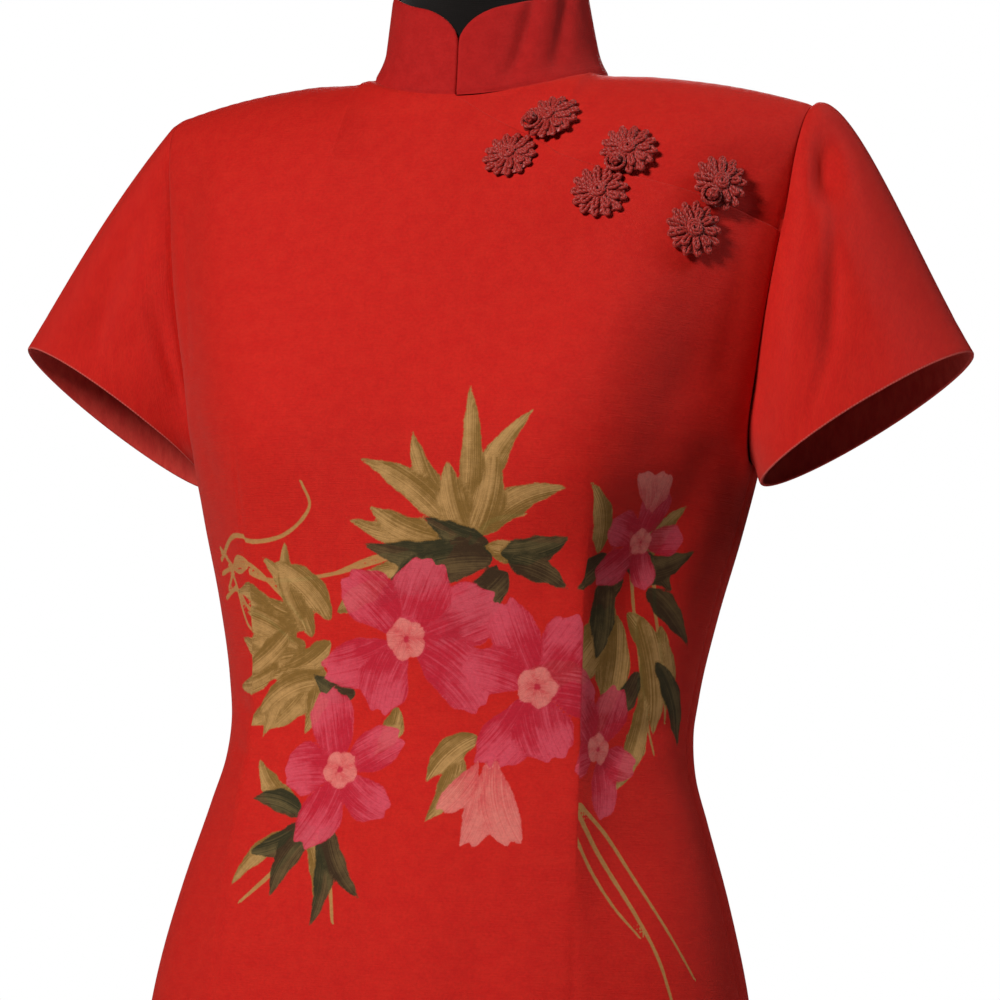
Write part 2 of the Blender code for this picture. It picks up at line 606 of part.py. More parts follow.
def build_form():
    low = [*np.linspace(FORM_BOTTOM_Z, 0.96, 7)[:-1] - UNDERARM_Z, *np.linspace(0.96, UNDERARM_Z, 8) - UNDERARM_Z]
    body = [form_ring(rise) for rise in (*low, *HIGH_RISES)]
    middle = body[0].mean(axis=0)
    under = [
        middle + (body[0] - middle) * (scale, scale, 1) - (0, 0, drop)
        for scale, drop in ((0.55, FORM_UNDER), (0.90, FORM_UNDER * 0.9), (0.97, FORM_UNDER * 0.5))
    ]
    rings = np.array(under + body)
    count, columns = rings.shape[:2]
    points = rings.reshape(-1, 3)
    faces = [*grid_faces(count, columns, 0, True), tuple(range(columns))]

    # The neck rises from the neckline, inside the collar.
    half = columns // 2
    near = range(round((1 - NECK_SHARE) * HALF_COLUMNS), round((1 + NECK_SHARE) * HALF_COLUMNS) + 1)
    start = (count - 1) * columns
    ring = [start + i for i in near] + [start + half + i for i in near][1:-1]
    foot = points[ring]
    neck = []
    for up in (0.06, 0.2, 0.35, 0.6, 0.8, 1.0):
        risen = min(1.0, up / 0.6)
        narrow = FORM_NECK_FIT * (1 - COLLAR_LEAN * risen**0.75)
        neck.append(np.stack((foot[:, 0] * narrow + COLLAR_TILT * risen, foot[:, 1] * narrow, mix(foot[:, 2], FORM_NECK_TOP_Z, up)), -1))
    base, width = len(points), len(ring)
    faces += [(ring[i], ring[(i + 1) % width], base + (i + 1) % width, base + i) for i in range(width)]
    faces += grid_faces(len(neck), width, base, True)
    faces.append(tuple(base + (len(neck) - 1) * width + i for i in range(width)))
    piece("form_torso", np.concatenate([points, *neck]), faces)

    top = neck[-1]
    rims = ((0.985, 0), (1.01, 0.25), (0.97, 0.7), (0.80, 1.0), (0.40, 1.3))
    middle = top.mean(axis=0)
    stack("form_cap", [middle + (top - middle) * (scale, scale, 1) + (0, 0, SEAM + CAP_HEIGHT * lift) for scale, lift in rims])


def build_stand():
    lathe(
        "stand_base",
        (
            (BASE_RADIUS - 0.001, 0),
            (BASE_RADIUS, 0.001),
            (BASE_RADIUS, BASE_THICKNESS - 0.004),
            (BASE_RADIUS - 0.004, BASE_THICKNESS),
            (HUB_RADIUS + 0.010, BASE_THICKNESS + 0.002),
            (HUB_RADIUS, BASE_THICKNESS + 0.008),
            (HUB_RADIUS * 0.8, HUB_TOP - 0.004),
            (HUB_RADIUS * 0.65, HUB_TOP),
        ),
        48,
    )
    lathe("stand_pole", ((POLE_RADIUS, HUB_TOP + SEAM), (POLE_RADIUS, FORM_BOTTOM_Z - FORM_UNDER - SEAM)), 24)


def main():
    for obj in list(bpy.data.objects):
        bpy.data.objects.remove(obj)
    build_panels()
    build_sleeve("sleeve_right", -1)
    build_sleeve("sleeve_left", 1)
    build_collar()
    build_frogs()
    build_form()
    build_stand()


main()
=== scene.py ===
# %% [markdown]
# # A red cheongsam on a dress form
# This lesson dresses a fixed frame. The frame is a plain, measured model of a short-sleeved cheongsam
# on a black dress form, and every body of it stays where it is. Here each cloth piece is made again
# as a fine, thin shell on the same surface, with its creases, seams, rolled edges, weave and print.
# The frame could also be shown with new materials alone, but its faces are too large for folds.

# %% Load the fixed frame
import math
from collections import namedtuple

import bmesh
import bpy
import numpy as np
from mathutils import Matrix


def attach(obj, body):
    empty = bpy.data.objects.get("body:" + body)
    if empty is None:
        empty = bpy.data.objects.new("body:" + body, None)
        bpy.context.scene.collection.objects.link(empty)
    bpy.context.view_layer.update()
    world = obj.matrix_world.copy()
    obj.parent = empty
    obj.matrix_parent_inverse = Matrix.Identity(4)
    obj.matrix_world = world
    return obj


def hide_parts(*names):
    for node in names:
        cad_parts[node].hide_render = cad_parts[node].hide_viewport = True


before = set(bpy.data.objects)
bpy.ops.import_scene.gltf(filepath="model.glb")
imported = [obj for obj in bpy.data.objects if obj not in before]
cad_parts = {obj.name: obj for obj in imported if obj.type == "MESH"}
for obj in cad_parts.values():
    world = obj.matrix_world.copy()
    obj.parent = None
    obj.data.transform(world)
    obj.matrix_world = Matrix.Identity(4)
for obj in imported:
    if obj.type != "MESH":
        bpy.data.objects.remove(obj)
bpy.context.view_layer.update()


def short(values, digits=3):
    """A number or a list of numbers, rounded for a print."""
    made = np.round(np.ravel(values), digits).tolist()
    return made if len(made) > 1 else made[0]


print("nodes in the frame:", len(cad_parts))

# %% [markdown]
# ## The dress's own measures
# A dress is drafted from a few body measures: the levels of waist, bust and underarm, the neckline,
# the shoulder slope. They are the same named values as in the measured model, so a point found here
# lies on the frame. They could be read off the frame's mesh, but named values stay smooth at any
# fineness, which is what fine cloth needs.

# %% Levels, neckline and armhole
CLOTH = 0.0015  # one layer of cloth
COLLAR_CLOTH = 0.0024
SEAM = 0.0003  # what two pieces keep between them
HEM_Z, SLIT_TOP_Z, SLIT_HALF_WIDTH = 0.430, 0.660, 0.006
WAIST_Z, BUST_Z, UNDERARM_Z = 1.031, 1.195, 1.188
SHOULDER_TIP_Z, SHOULDER_NECK_Z, SHOULDER_TIP_X = 1.396, 1.418, 0.198
SHOULDER_FULLNESS = 0.0035  # how far the shoulder line rises over a straight one
NECK_HALF_WIDTH, NECK_FRONT, NECK_BACK = 0.069, 0.064, 0.056
NECK_FRONT_DROP, NECK_BACK_RISE = 0.0235, 0.018
ARMHOLE_HALF_DEPTH = 0.046
SHOULDER_ROLL = 0.075  # height over which the cloth turns down from the shoulder seam
SQUARENESS = 2.2  # exponent of the figure's level sections
BUST_X, BUST_SWELL, BUST_SPREAD_X, BUST_SPREAD_Z = 0.086, 0.012, 0.050, 0.055
DART_CORNER, DART_REACH = 0.0055, 0.050
NECK_SHARE, DART_SHARE, DART_TOP_X = 6 / 14, 9 / 14, 0.128

Level = namedtuple("Level", "z width front back dart")
FIGURE_LEVELS = (
    Level(0.430, 0.1750, 0.1120, 0.1180, 0.106),  # hem
    Level(0.640, 0.1785, 0.1150, 0.1250, 0.107),
    Level(0.830, 0.1800, 0.1180, 0.1300, 0.107),  # hip
    Level(0.878, 0.1738, 0.1170, 0.1270, 0.1055),
    Level(0.936, 0.1598, 0.1130, 0.1150, 0.1020),
    Level(0.984, 0.1450, 0.1070, 0.1010, 0.0988),
    Level(1.008, 0.1378, 0.1030, 0.0930, 0.0972),
    Level(1.031, 0.1356, 0.1005, 0.0870, 0.0962),  # waist
    Level(1.056, 0.1382, 0.1015, 0.0850, 0.0965),
    Level(1.101, 0.1472, 0.1070, 0.0900, 0.0985),
    Level(1.150, 0.1597, 0.1150, 0.0980, 0.103),
    Level(1.195, 0.1695, 0.1200, 0.1030, 0.104),  # bust
    Level(1.260, 0.1780, 0.1120, 0.1060, 0.106),
    Level(1.320, 0.1860, 0.0960, 0.1020, 0.108),
    Level(1.370, 0.1930, 0.0800, 0.0900, 0.110),
    Level(1.440, 0.1980, 0.0660, 0.0720, 0.112),
)
print("levels of the figure:", len(FIGURE_LEVELS), "from", FIGURE_LEVELS[0].z, "to", FIGURE_LEVELS[-1].z, "m")

# %% [markdown]
# ## Folds
# Cloth on a body hangs in soft folds that point at what pulls on it: from the armhole to the bust,
# from the hip to the hem. Cloth simulation could find them, but a fitted dress barely moves from its
# form, so the few real folds are listed one by one. Each is a line with a width and a height. The large
# ones are in the measured model too; the small ones are added here, on the hidden sides as well.

# %% Large folds of the panels
Fold = namedtuple("Fold", "x1 z1 x2 z2 width height")
FRONT_FOLDS = (
    Fold(0.168, 1.350, 0.150, 1.225, 0.016, -0.0060),  # left armhole, down to the bust
    Fold(0.150, 1.160, 0.118, 1.110, 0.012, -0.0025),  # under the left bust
    Fold(-0.160, 1.300, -0.150, 1.215, 0.014, -0.0035),  # right armhole
    Fold(0.120, 0.960, 0.140, 0.780, 0.022, -0.0030),  # skirt, left
    Fold(-0.130, 0.930, -0.150, 0.760, 0.022, -0.0025),  # skirt, right
)
BACK_FOLDS = (
    Fold(-0.060, 1.060, 0.060, 1.050, 0.014, -0.0030),  # small of the back
    Fold(-0.150, 1.330, -0.140, 1.230, 0.016, -0.0030),
    Fold(0.150, 1.330, 0.140, 1.230, 0.016, -0.0030),
)
print("large folds:", len(FRONT_FOLDS), "in front,", len(BACK_FOLDS), "behind")

# %% Small folds of the panels
SMALL_FRONT_FOLDS = (
    Fold(0.113, 1.250, 0.106, 1.180, 0.0350, 0.0080),  # the bust, fuller on the left
    Fold(-0.113, 1.250, -0.106, 1.180, 0.0350, 0.0025),
    Fold(0.085, 1.118, 0.130, 1.112, 0.0280, -0.0038),  # the hollow under the left bust
    Fold(0.176, 1.335, 0.163, 1.235, 0.0060, -0.0012),
    Fold(0.150, 1.240, 0.132, 1.190, 0.0080, -0.0008),
    Fold(0.158, 1.190, 0.138, 1.130, 0.0060, -0.0009),
    Fold(0.128, 1.120, 0.116, 1.060, 0.0070, -0.0010),
    Fold(0.130, 1.035, 0.112, 1.010, 0.0060, -0.0010),
    Fold(-0.172, 1.320, -0.160, 1.240, 0.0060, -0.0012),
    Fold(-0.155, 1.215, -0.128, 1.170, 0.0090, -0.0011),
    Fold(-0.108, 1.038, -0.075, 1.024, 0.0060, -0.0010),
    Fold(-0.110, 1.013, -0.082, 1.005, 0.0050, -0.0008),
    Fold(-0.010, 0.960, -0.024, 0.640, 0.0200, -0.0016),
    Fold(0.055, 0.900, 0.070, 0.560, 0.0180, -0.0015),
    Fold(-0.080, 0.880, -0.100, 0.500, 0.0200, -0.0018),
    Fold(0.020, 1.300, 0.070, 1.250, 0.0220, -0.0012),
    Fold(-0.040, 1.330, -0.080, 1.260, 0.0240, -0.0011),
)
SMALL_BACK_FOLDS = (
    Fold(-0.120, 1.045, -0.030, 1.034, 0.0060, -0.0012),
    Fold(0.125, 1.040, 0.040, 1.030, 0.0060, -0.0012),
    Fold(-0.095, 1.075, 0.080, 1.068, 0.0070, -0.0010),
    Fold(-0.150, 1.260, -0.110, 1.180, 0.0090, -0.0014),
    Fold(0.150, 1.260, 0.105, 1.175, 0.0090, -0.0014),
    Fold(-0.030, 0.940, -0.050, 0.560, 0.0200, -0.0020),
    Fold(0.060, 0.920, 0.078, 0.520, 0.0200, -0.0020),
    Fold(0.000, 1.380, 0.010, 1.290, 0.0200, -0.0010),
)
print("small folds:", len(SMALL_FRONT_FOLDS), "in front,", len(SMALL_BACK_FOLDS), "behind")

# %% [markdown]
# ## The figure's surface
# Dressmakers think of a panel as flat cloth with a share across and a height along, and that is how a
# point is found here. A table of levels gives the width and depth of the figure; a smooth curve runs
# through it. Sculpting would give such a form too, but every neighbouring piece would then need
# fitting by eye, while a formula keeps sleeves, collar and panels on one surface.

# %% Mixing, easing and curves
def mix(a, b, share):
    return a + (b - a) * share


def ease(share):
    """0 to 1 with level ends."""
    share = np.clip(share, 0, 1)
    return share * share * (3 - 2 * share)


def band(value, start, rise, stop, fall):
    """1 between start + rise and stop, eased to 0 below start and above stop + fall."""
    return ease((value - start) / rise) * (1 - ease((value - stop) / fall))


def unit(vectors):
    return vectors / np.linalg.norm(vectors, axis=-1, keepdims=True)


def curve(t, start, leave, end, arrive):
    """The point at t of a curve that leaves its start and arrives at its end in given directions."""
    ends = (1 + 2 * t) * (1 - t) ** 2 * start + t * t * (3 - 2 * t) * end
    return ends + t * (1 - t) ** 2 * leave + t * t * (t - 1) * arrive


print("a quarter of the way, eased:", ease(0.25))

# %% Curves through tables
def smooth_rows(table):
    """A function that reads a smooth row of the table at any value of its first column."""
    rows = np.array(table)
    keys = rows[:, 0]
    slopes = np.gradient(rows, keys, axis=0)
    kind = type(table[0])

    def read(key):
        key = np.clip(key, keys[0], keys[-1])
        i = np.clip(np.searchsorted(keys, key, side="right") - 1, 0, len(keys) - 2)
        span = keys[i + 1] - keys[i]
        t, span = np.asarray((key - keys[i]) / span)[..., None], np.asarray(span)[..., None]
        row = curve(t, rows[i], span * slopes[i], rows[i + 1], span * slopes[i + 1])
        return kind(*np.moveaxis(row, -1, 0))

    return read


figure = smooth_rows(FIGURE_LEVELS)
print("half width at the bust:", short(figure(BUST_Z).width), "m")

# %% Neckline, shoulder and armhole
def shoulder_z(x):
    """Height of the shoulder line at x. It is a little full, most of all towards the tip."""
    share = np.clip((abs(x) - NECK_HALF_WIDTH) / (SHOULDER_TIP_X - NECK_HALF_WIDTH), 0, 1)
    return mix(SHOULDER_NECK_Z, SHOULDER_TIP_Z, share) + SHOULDER_FULLNESS * np.sin(math.pi * share**1.3)


def neck_away(x):
    """1 in the middle of the neckline, 0 at its side points and beyond."""
    return np.sqrt(np.maximum(0, 1 - (x / NECK_HALF_WIDTH) ** 2))


def neck_lift(away, side):
    return (-NECK_FRONT_DROP if side < 0 else NECK_BACK_RISE) * away**1.5


def neck_reach(side):
    return NECK_FRONT if side < 0 else NECK_BACK


def shoulder_roll(x, z, side):
    """0 on the neckline and the shoulder line, 1 where the cloth hangs."""
    top = np.where(abs(x) < NECK_HALF_WIDTH, SHOULDER_NECK_Z + neck_lift(neck_away(x), side), shoulder_z(x))
    below = np.clip((top - z) / SHOULDER_ROLL, 0, 1)
    return mix(np.sqrt(1 - (1 - below) ** 2), 1 - (1 - below) ** 1.5, neck_away(x) ** 2)


def edge_x(z):
    """Half width of a panel: the side seam, then the armhole."""
    share = np.clip((z - UNDERARM_Z) / (SHOULDER_TIP_Z - UNDERARM_Z), 0, 1)
    return np.where(z <= UNDERARM_Z, figure(z).width, mix(figure(UNDERARM_Z).width, SHOULDER_TIP_X, share))


def armhole_depth(z):
    """How far the armhole's edge lies from the plane of the side seams."""
    middle, half = (SHOULDER_TIP_Z + UNDERARM_Z) / 2, (SHOULDER_TIP_Z - UNDERARM_Z) / 2
    return ARMHOLE_HALF_DEPTH * np.sqrt(np.maximum(0, 1 - ((z - middle) / half) ** 2))


print("shoulder seam:", short(SHOULDER_TIP_X - NECK_HALF_WIDTH), "m wide on each side")

# %% The level section, the bust and the darts
def section_width(z, side):
    """Half width of the whole level section, which the armhole cuts off above the underarm."""
    width = edge_x(z)
    high = np.clip(z, UNDERARM_Z, SHOULDER_TIP_Z - 0.001)
    at = figure(high)
    reach = (at.front if side < 0 else at.back) * shoulder_roll(edge_x(high), high, side)
    share = np.minimum(armhole_depth(high) / reach, 0.95)
    return width / (1 - share**SQUARENESS) ** (1 / SQUARENESS)


def bust(x, z):
    across = (abs(x) - BUST_X) / BUST_SPREAD_X
    up = (z - BUST_Z) / BUST_SPREAD_Z
    return BUST_SWELL * np.exp(-across * across - up * up)


def dart_corner(x, z):
    """The corner along each long dart, sharpest at the waist and gone at the bust and the hip."""
    above = 1 - ease((z - WAIST_Z) / (BUST_Z - 0.012 - WAIST_Z))
    below = 1 - 0.6 * ease((WAIST_Z - z) / 0.12) - 0.4 * ease((WAIST_Z - z - 0.12) / 0.14)
    away = abs(abs(x) - figure(z).dart) / DART_REACH
    return DART_CORNER * np.where(z > WAIST_Z, above, below) * np.maximum(0, 1 - away)


print("the darts stand out at the waist by", DART_CORNER * 1000, "mm")

# %% Depth of the figure at any place
def folds(table, x, z):
    total = 0.0
    for fold in table:
        along_x, along_z = fold.x2 - fold.x1, fold.z2 - fold.z1
        length = math.hypot(along_x, along_z)
        along = ((x - fold.x1) * along_x + (z - fold.z1) * along_z) / length
        across = ((x - fold.x1) * along_z - (z - fold.z1) * along_x) / length / fold.width
        past = np.maximum(0, abs(along - length / 2) - length / 2) / fold.width
        total = total + fold.height * np.exp(-across * across - past * past)
    return total


def depth(x, z, side):
    """How far the figure lies in front (side -1) or behind (side 1) of the plane of the side seams."""
    at = figure(z)
    across = np.maximum(0, 1 - (abs(x) / section_width(z, side)) ** SQUARENESS) ** (1 / SQUARENESS)
    reach = at.front if side < 0 else at.back
    swell = folds(FRONT_FOLDS if side < 0 else BACK_FOLDS, x, z)
    if side < 0:
        swell = swell + bust(x, z) + dart_corner(x, z)
    neck = neck_reach(side) * neck_away(x)
    return mix(neck, (reach + swell) * across, shoulder_roll(x, z, side))


print("depth at the waist, front and back:", short([depth(0.0, WAIST_Z, side) for side in (-1, 1)]), "m")

# %% Lines across a panel
def neck_point(angle, side):
    """The neckline, by its angle from the middle (0) to the shoulder (a quarter turn)."""
    away = np.maximum(np.cos(angle), 0)
    x, y = NECK_HALF_WIDTH * np.sin(angle), side * neck_reach(side) * away
    return np.stack((x, y, SHOULDER_NECK_Z + neck_lift(away, side)), -1)


def low_x(share, z):
    """x at or below the underarm: even across the middle, then even round the side."""
    width, dart = figure(z).width, figure(z).dart
    start = np.arcsin((dart / width) ** (SQUARENESS / 2))
    turn = mix(start, math.pi / 2, np.clip((share - DART_SHARE) / (1 - DART_SHARE), 0, 1))
    return np.where(share <= DART_SHARE, dart * share / DART_SHARE, width * np.sin(turn) ** (2 / SQUARENESS))


def top_x(share):
    """x along the neckline and the shoulder seam."""
    neck = NECK_HALF_WIDTH * np.sin(math.pi / 2 * np.minimum(share / NECK_SHARE, 1))
    inner = mix(NECK_HALF_WIDTH, DART_TOP_X, (share - NECK_SHARE) / (DART_SHARE - NECK_SHARE))
    outer = mix(DART_TOP_X, SHOULDER_TIP_X, (share - DART_SHARE) / (1 - DART_SHARE))
    return np.select((share <= NECK_SHARE, share <= DART_SHARE), (neck, inner), outer)


def top_z(share, side):
    angle = math.pi / 2 * np.minimum(share / NECK_SHARE, 1)
    return np.where(share <= NECK_SHARE, neck_point(angle, side)[..., 2], shoulder_z(top_x(share)))


print("half a panel at its top and at the hem:", short((top_x(1.0), low_x(1.0, HEM_Z))), "m")

# %% A point of a panel from its share across and its rise
def panel_point(share, rise, side):
    """A point on the inside of the cloth. share runs from -1 to 1 across, rise in metres below the
    underarm where it is negative, and above it as a share of the way to the top edge."""
    share, rise = np.broadcast_arrays(np.asarray(share, float), rise)
    sign, share = np.sign(share), abs(share)
    up = np.clip(rise, 0, 1)
    z = np.where(rise <= 0, UNDERARM_Z + rise, mix(UNDERARM_Z, top_z(share, side), up))
    base = figure(UNDERARM_Z).width
    across = mix(low_x(share, UNDERARM_Z) / base, top_x(share) / SHOULDER_TIP_X, ease(up))
    x = np.where(rise <= 0, low_x(share, z), mix(base, SHOULDER_TIP_X, up) * across)
    slit = SLIT_HALF_WIDTH * np.clip((SLIT_TOP_Z - z) / (SLIT_TOP_Z - HEM_Z), 0, 1)
    y = np.hypot(depth(x, z, side), slit) + SEAM / 2
    return np.stack((sign * x, side * y, z), -1)


def outward(share, rise, side):
    """The cloth's outward direction at a point of a panel. Along a seam it lies in the seam's plane."""
    share, rise = np.broadcast_arrays(np.asarray(share, float), rise)
    step = np.where(rise > 0, 0.01, 0.002)
    low = np.maximum(rise - step, HEM_Z - UNDERARM_Z)
    high = np.minimum(rise + step, 1)
    right, left = np.minimum(share + 0.01, 1), np.maximum(share - 0.01, -1)
    across = panel_point(right, rise, side) - panel_point(left, rise, side)
    along = panel_point(share, high, side) - panel_point(share, low, side)
    normal = np.cross(across, along) * -side
    at_side = abs(share) > 0.999
    normal[..., 0] = np.where(at_side & (rise > 0), 0, normal[..., 0])
    on_seam = (at_side & (rise <= 0)) | ((rise > 0.999) & (abs(share) > NECK_SHARE))
    normal[..., 1] = np.where(on_seam, 0, normal[..., 1])
    return unit(normal)


bust_point = panel_point(DART_SHARE, BUST_Z - UNDERARM_Z, -1)
print("the bust point:", short(bust_point))

# %% The panel's point at a given place
def panel_at(x, z, side):
    """(share, rise) of the panel's point that has this x and z."""

    def rise_at(share):
        return np.where(z <= UNDERARM_Z, z - UNDERARM_Z, (z - UNDERARM_Z) / (top_z(share, side) - UNDERARM_Z))

    low, high = np.zeros_like(x), np.ones_like(x)
    for _ in range(30):
        middle = (low + high) / 2
        inside = panel_point(middle, np.minimum(rise_at(middle), 1), side)[..., 0] < abs(x)
        low, high = np.where(inside, middle, low), np.where(inside, high, middle)
    return np.copysign(low, x), np.minimum(rise_at(low), 1)


print("share and rise of the fullest place:", short(panel_at(np.array([BUST_X]), np.array([BUST_Z]), -1)))

# %% [markdown]
# ## Closed cloth
# Real cloth has two faces and an edge. A single surface renders, but from the sleeve or the slit one
# sees that it has no thickness, and it can't be printed or checked as a solid. So every cloth piece
# here is two grids of points, an outer and an inner one, joined round their rims. The outer grid is
# fine, for folds and print. The inner one may keep only every third line, which saves nearly half the
# faces. Tubes and turned pieces are closed grids too, so the helpers for them stand here as well.

# %% Faces between lines of points
def quads(at, around=False):
    """Four-sided faces between the lines of a grid of vertex numbers."""
    right = np.roll(at, -1, axis=1) if around else at[:, 1:]
    left = at if around else at[:, :-1]
    return np.stack((left[:-1], right[:-1], right[1:], left[1:]), -1).reshape(-1, 4).tolist()


def rim_faces(outer, inner, step):
    """Faces between a fine line of vertices and a coarse one that keeps every step-th of them."""
    return [
        (inner[i], inner[i + 1], *(outer[(i + 1) * step - k] for k in range(step + 1)))
        for i in range(len(inner) - 1)
    ]


def numbered(rows, columns, start=0):
    """A grid of vertex numbers."""
    return start + np.arange(rows * columns).reshape(rows, columns)


def tube_faces(rows, columns):
    """Faces of a tube of rings, with a cap on each end."""
    at = numbered(rows, columns)
    return quads(at, around=True) + [at[0].tolist(), at[-1].tolist()]


print("a closed tube of 3 rings of 8 points has", len(tube_faces(3, 8)), "faces")

# %% Rings of directions
def turns(count):
    """Angles of equal steps once round."""
    return np.arange(count) * 2 * math.pi / count


def circle(turn, across, along):
    """Directions at these angles in the plane of two axes."""
    return np.cos(turn)[:, None] * across + np.sin(turn)[:, None] * along


def level_axes(normal):
    """A level direction across a normal, and the one at right angles to both."""
    across = unit(np.cross((0, 0, 1), normal))
    return across, np.cross(normal, across)


print("an eighth of a turn in the plane of x and y:", short(circle(turns(8), (1, 0, 0), (0, 1, 0))[1]))

# %% A new piece from points and faces
def link(name, data):
    obj = bpy.data.objects.new(name, data)
    bpy.context.scene.collection.objects.link(obj)
    return obj


def turn_outward(mesh, weld=0.0):
    """Turns all faces outward, after joining the vertices that lie closer than weld."""
    shape = bmesh.new()
    shape.from_mesh(mesh)
    if weld:
        bmesh.ops.remove_doubles(shape, verts=shape.verts, dist=weld)
    bmesh.ops.recalc_face_normals(shape, faces=shape.faces)
    shape.to_mesh(mesh)
    shape.free()


def new_piece(name, points, faces, materials, smooth_under=50):
    mesh = bpy.data.meshes.new(name)
    mesh.from_pydata(np.asarray(points).tolist(), [], faces)
    turn_outward(mesh)
    mesh.shade_smooth()
    mesh.set_sharp_from_angle(angle=math.radians(smooth_under))
    for material in materials:
        mesh.materials.append(material)
    return link(name, mesh)


def keep_weave(mesh, weave):
    """Stores each vertex's place in the flat cloth, in metres, as the mesh's UV map."""
    corner = np.empty(len(mesh.loops), np.int32)
    mesh.loops.foreach_get("vertex_index", corner)
    mesh.uv_layers.new(name="weave").data.foreach_set("uv", weave[corner].astype(np.float32).ravel())


def triangles(mesh):
    return sum(len(face.vertices) - 2 for face in mesh.polygons)


# %% Two grids joined round their rims
def cloth_piece(name, outside, inside, weave, materials, step=1, closed=False):
    """A closed sheet. materials are the face cloth and the lining; weave is a grid of flat places."""
    pick = np.s_[::step, ::step]
    inner_points, inner_weave = inside[pick], weave[pick]
    outer = numbered(*outside.shape[:2])
    inner = numbered(*inner_points.shape[:2], start=outer.size)
    face_quads, lining_quads = quads(outer, closed), quads(inner, closed)
    lines = [(outer[0], inner[0]), (outer[-1], inner[-1])]
    if closed:
        lines = [(np.append(a, a[0]), np.append(b, b[0])) for a, b in lines]
    else:
        lines += [(outer[:, 0], inner[:, 0]), (outer[:, -1], inner[:, -1])]
    rims = [face for a, b in lines for face in rim_faces(a.tolist(), b.tolist(), step)]
    points = np.concatenate((outside.reshape(-1, 3), inner_points.reshape(-1, 3)))
    obj = new_piece(name, points, face_quads + lining_quads + rims, materials)
    slots = np.zeros(len(obj.data.polygons), np.int32)
    slots[len(face_quads) : len(face_quads) + len(lining_quads)] = len(materials) - 1
    obj.data.polygons.foreach_set("material_index", slots)
    keep_weave(obj.data, np.concatenate((weave.reshape(-1, 2), inner_weave.reshape(-1, 2))))
    print(f"{name}: {len(obj.data.vertices)} vertices, {triangles(obj.data)} triangles")
    return obj


print("rim faces between 7 fine points and 3 coarse ones:", len(rim_faces(range(7), range(3), 3)))

# %% [markdown]
# ## Edges and seams in cloth
# A cut edge is never left raw: it is turned under, so it looks rounded, and where two pieces are sewn
# the cloth dips into the seam and puckers a little along the stitches. A bevel modifier could round an
# edge, but not make it fade into the cloth. Both effects are functions of the distance from the edge.

# %% Rounded edges, dips at seams, puckers
EDGE_ROUND, EDGE_LEFT = 0.0011, 0.25  # width of the rounding, share of the thickness left at the very edge
SEAM_DIP, SEAM_REACH = 0.0009, 0.0022
PUCKER, PUCKER_LENGTH, PUCKER_START, PUCKER_REACH = 0.00013, 0.0085, 0.003, 0.006


def edge_swell(distance):
    """Share of the cloth's thickness that is left at this distance from a turned edge."""
    near = np.clip(distance / EDGE_ROUND, 0, 1)
    return mix(EDGE_LEFT, 1, np.sqrt(1 - (1 - near) ** 2))


def seam_dip(distance, along):
    """How far the cloth dips at this distance from a seam, with puckers along it."""
    puckers = PUCKER * np.sin(along * 2 * math.pi / PUCKER_LENGTH + 2 * np.sin(along * 37))
    fade = np.exp(-((distance / PUCKER_REACH) ** 2)) * ease(distance / PUCKER_START)
    return puckers * fade - SEAM_DIP * np.exp(-((distance / SEAM_REACH) ** 2))


def arc_lengths(points, axis):
    """Length along one axis of a grid of points, from its first line."""
    steps = np.linalg.norm(np.diff(points, axis=axis), axis=-1)
    start = np.zeros_like(np.take(steps, [0], axis=axis))
    return np.cumsum(np.concatenate((start, steps), axis=axis), axis=axis)


print("a seam dips", SEAM_DIP * 1000, "mm over", SEAM_REACH * 1000, "mm")

# %% [markdown]
# ## The painted print
# The dress has a spray of flowers painted across the waist: olive and khaki leaves, blossoms in deep
# pink with pale hearts, and thin tendrils. An image would do it, but a pattern made of shapes stays
# sharp at any size. Each leaf or petal here is a short rule that says how far a point of the cloth lies
# inside it, in millimetres. Those distances are stored on the mesh, and the material turns each into
# paint where it is above zero, with a brushed edge. This spray is a made-up, ordinary garden one.

# %% How far a point lies inside a leaf or a petal
Leaf = namedtuple("Leaf", "u v angle length width bend")


def along_stroke(place, base, angle, bend, length):
    """How far a point lies along and across a bent stroke that starts at base, in mm and as a share."""
    along_x, along_z = math.cos(math.radians(angle)), math.sin(math.radians(angle))
    away = place - base
    along = away[..., 0] * along_x + away[..., 1] * along_z
    across = away[..., 1] * along_x - away[..., 0] * along_z
    share = np.clip(along / length, 0, 1)
    return along, across - bend * length * share * (1 - share) * 4, share


def inside_outline(along, across, length, half):
    past = np.maximum(0, abs(along - length / 2) - length / 2)
    return half - np.hypot(across, past)


def leaf_field(place, leaf):
    """A brushed leaf: it swells from its stalk and runs out in a point."""
    along, across, share = along_stroke(place, leaf[:2], leaf.angle, leaf.bend, leaf.length)
    half = leaf.width * np.sin(math.pi * share**0.75) ** 0.85 * (1 + 0.07 * np.sin(share * 19 + leaf.angle))
    return inside_outline(along, across, leaf.length, half) - 0.3, share, across / leaf.width


def petal_field(place, base, angle, length, width, bend=0.0):
    """A petal: narrow at the heart, broad and notched at its end."""
    along, across, share = along_stroke(place, base, angle, bend, length)
    notch = 1 - 0.07 * np.exp(-((across / (0.22 * width)) ** 2)) + 0.025 * np.sin(across * 0.7 + angle)
    share = np.clip(share / notch, 0, 1)
    half = width * np.sin(math.pi * share**1.35) ** 0.75 * (1 + 0.05 * np.sin(share * 13 + angle * 3))
    return inside_outline(along, across, length * notch, half), share, across / width


straight_leaf = Leaf(0, 0, 0, 40, 9, 0)
print("a leaf's field in its middle:", short(leaf_field(np.array([20.0, 0.0]), straight_leaf)[0], 1), "mm")

# %% Distance from a tendril
FAR_AWAY = 50.0  # mm, farther than any tendril's paint reaches


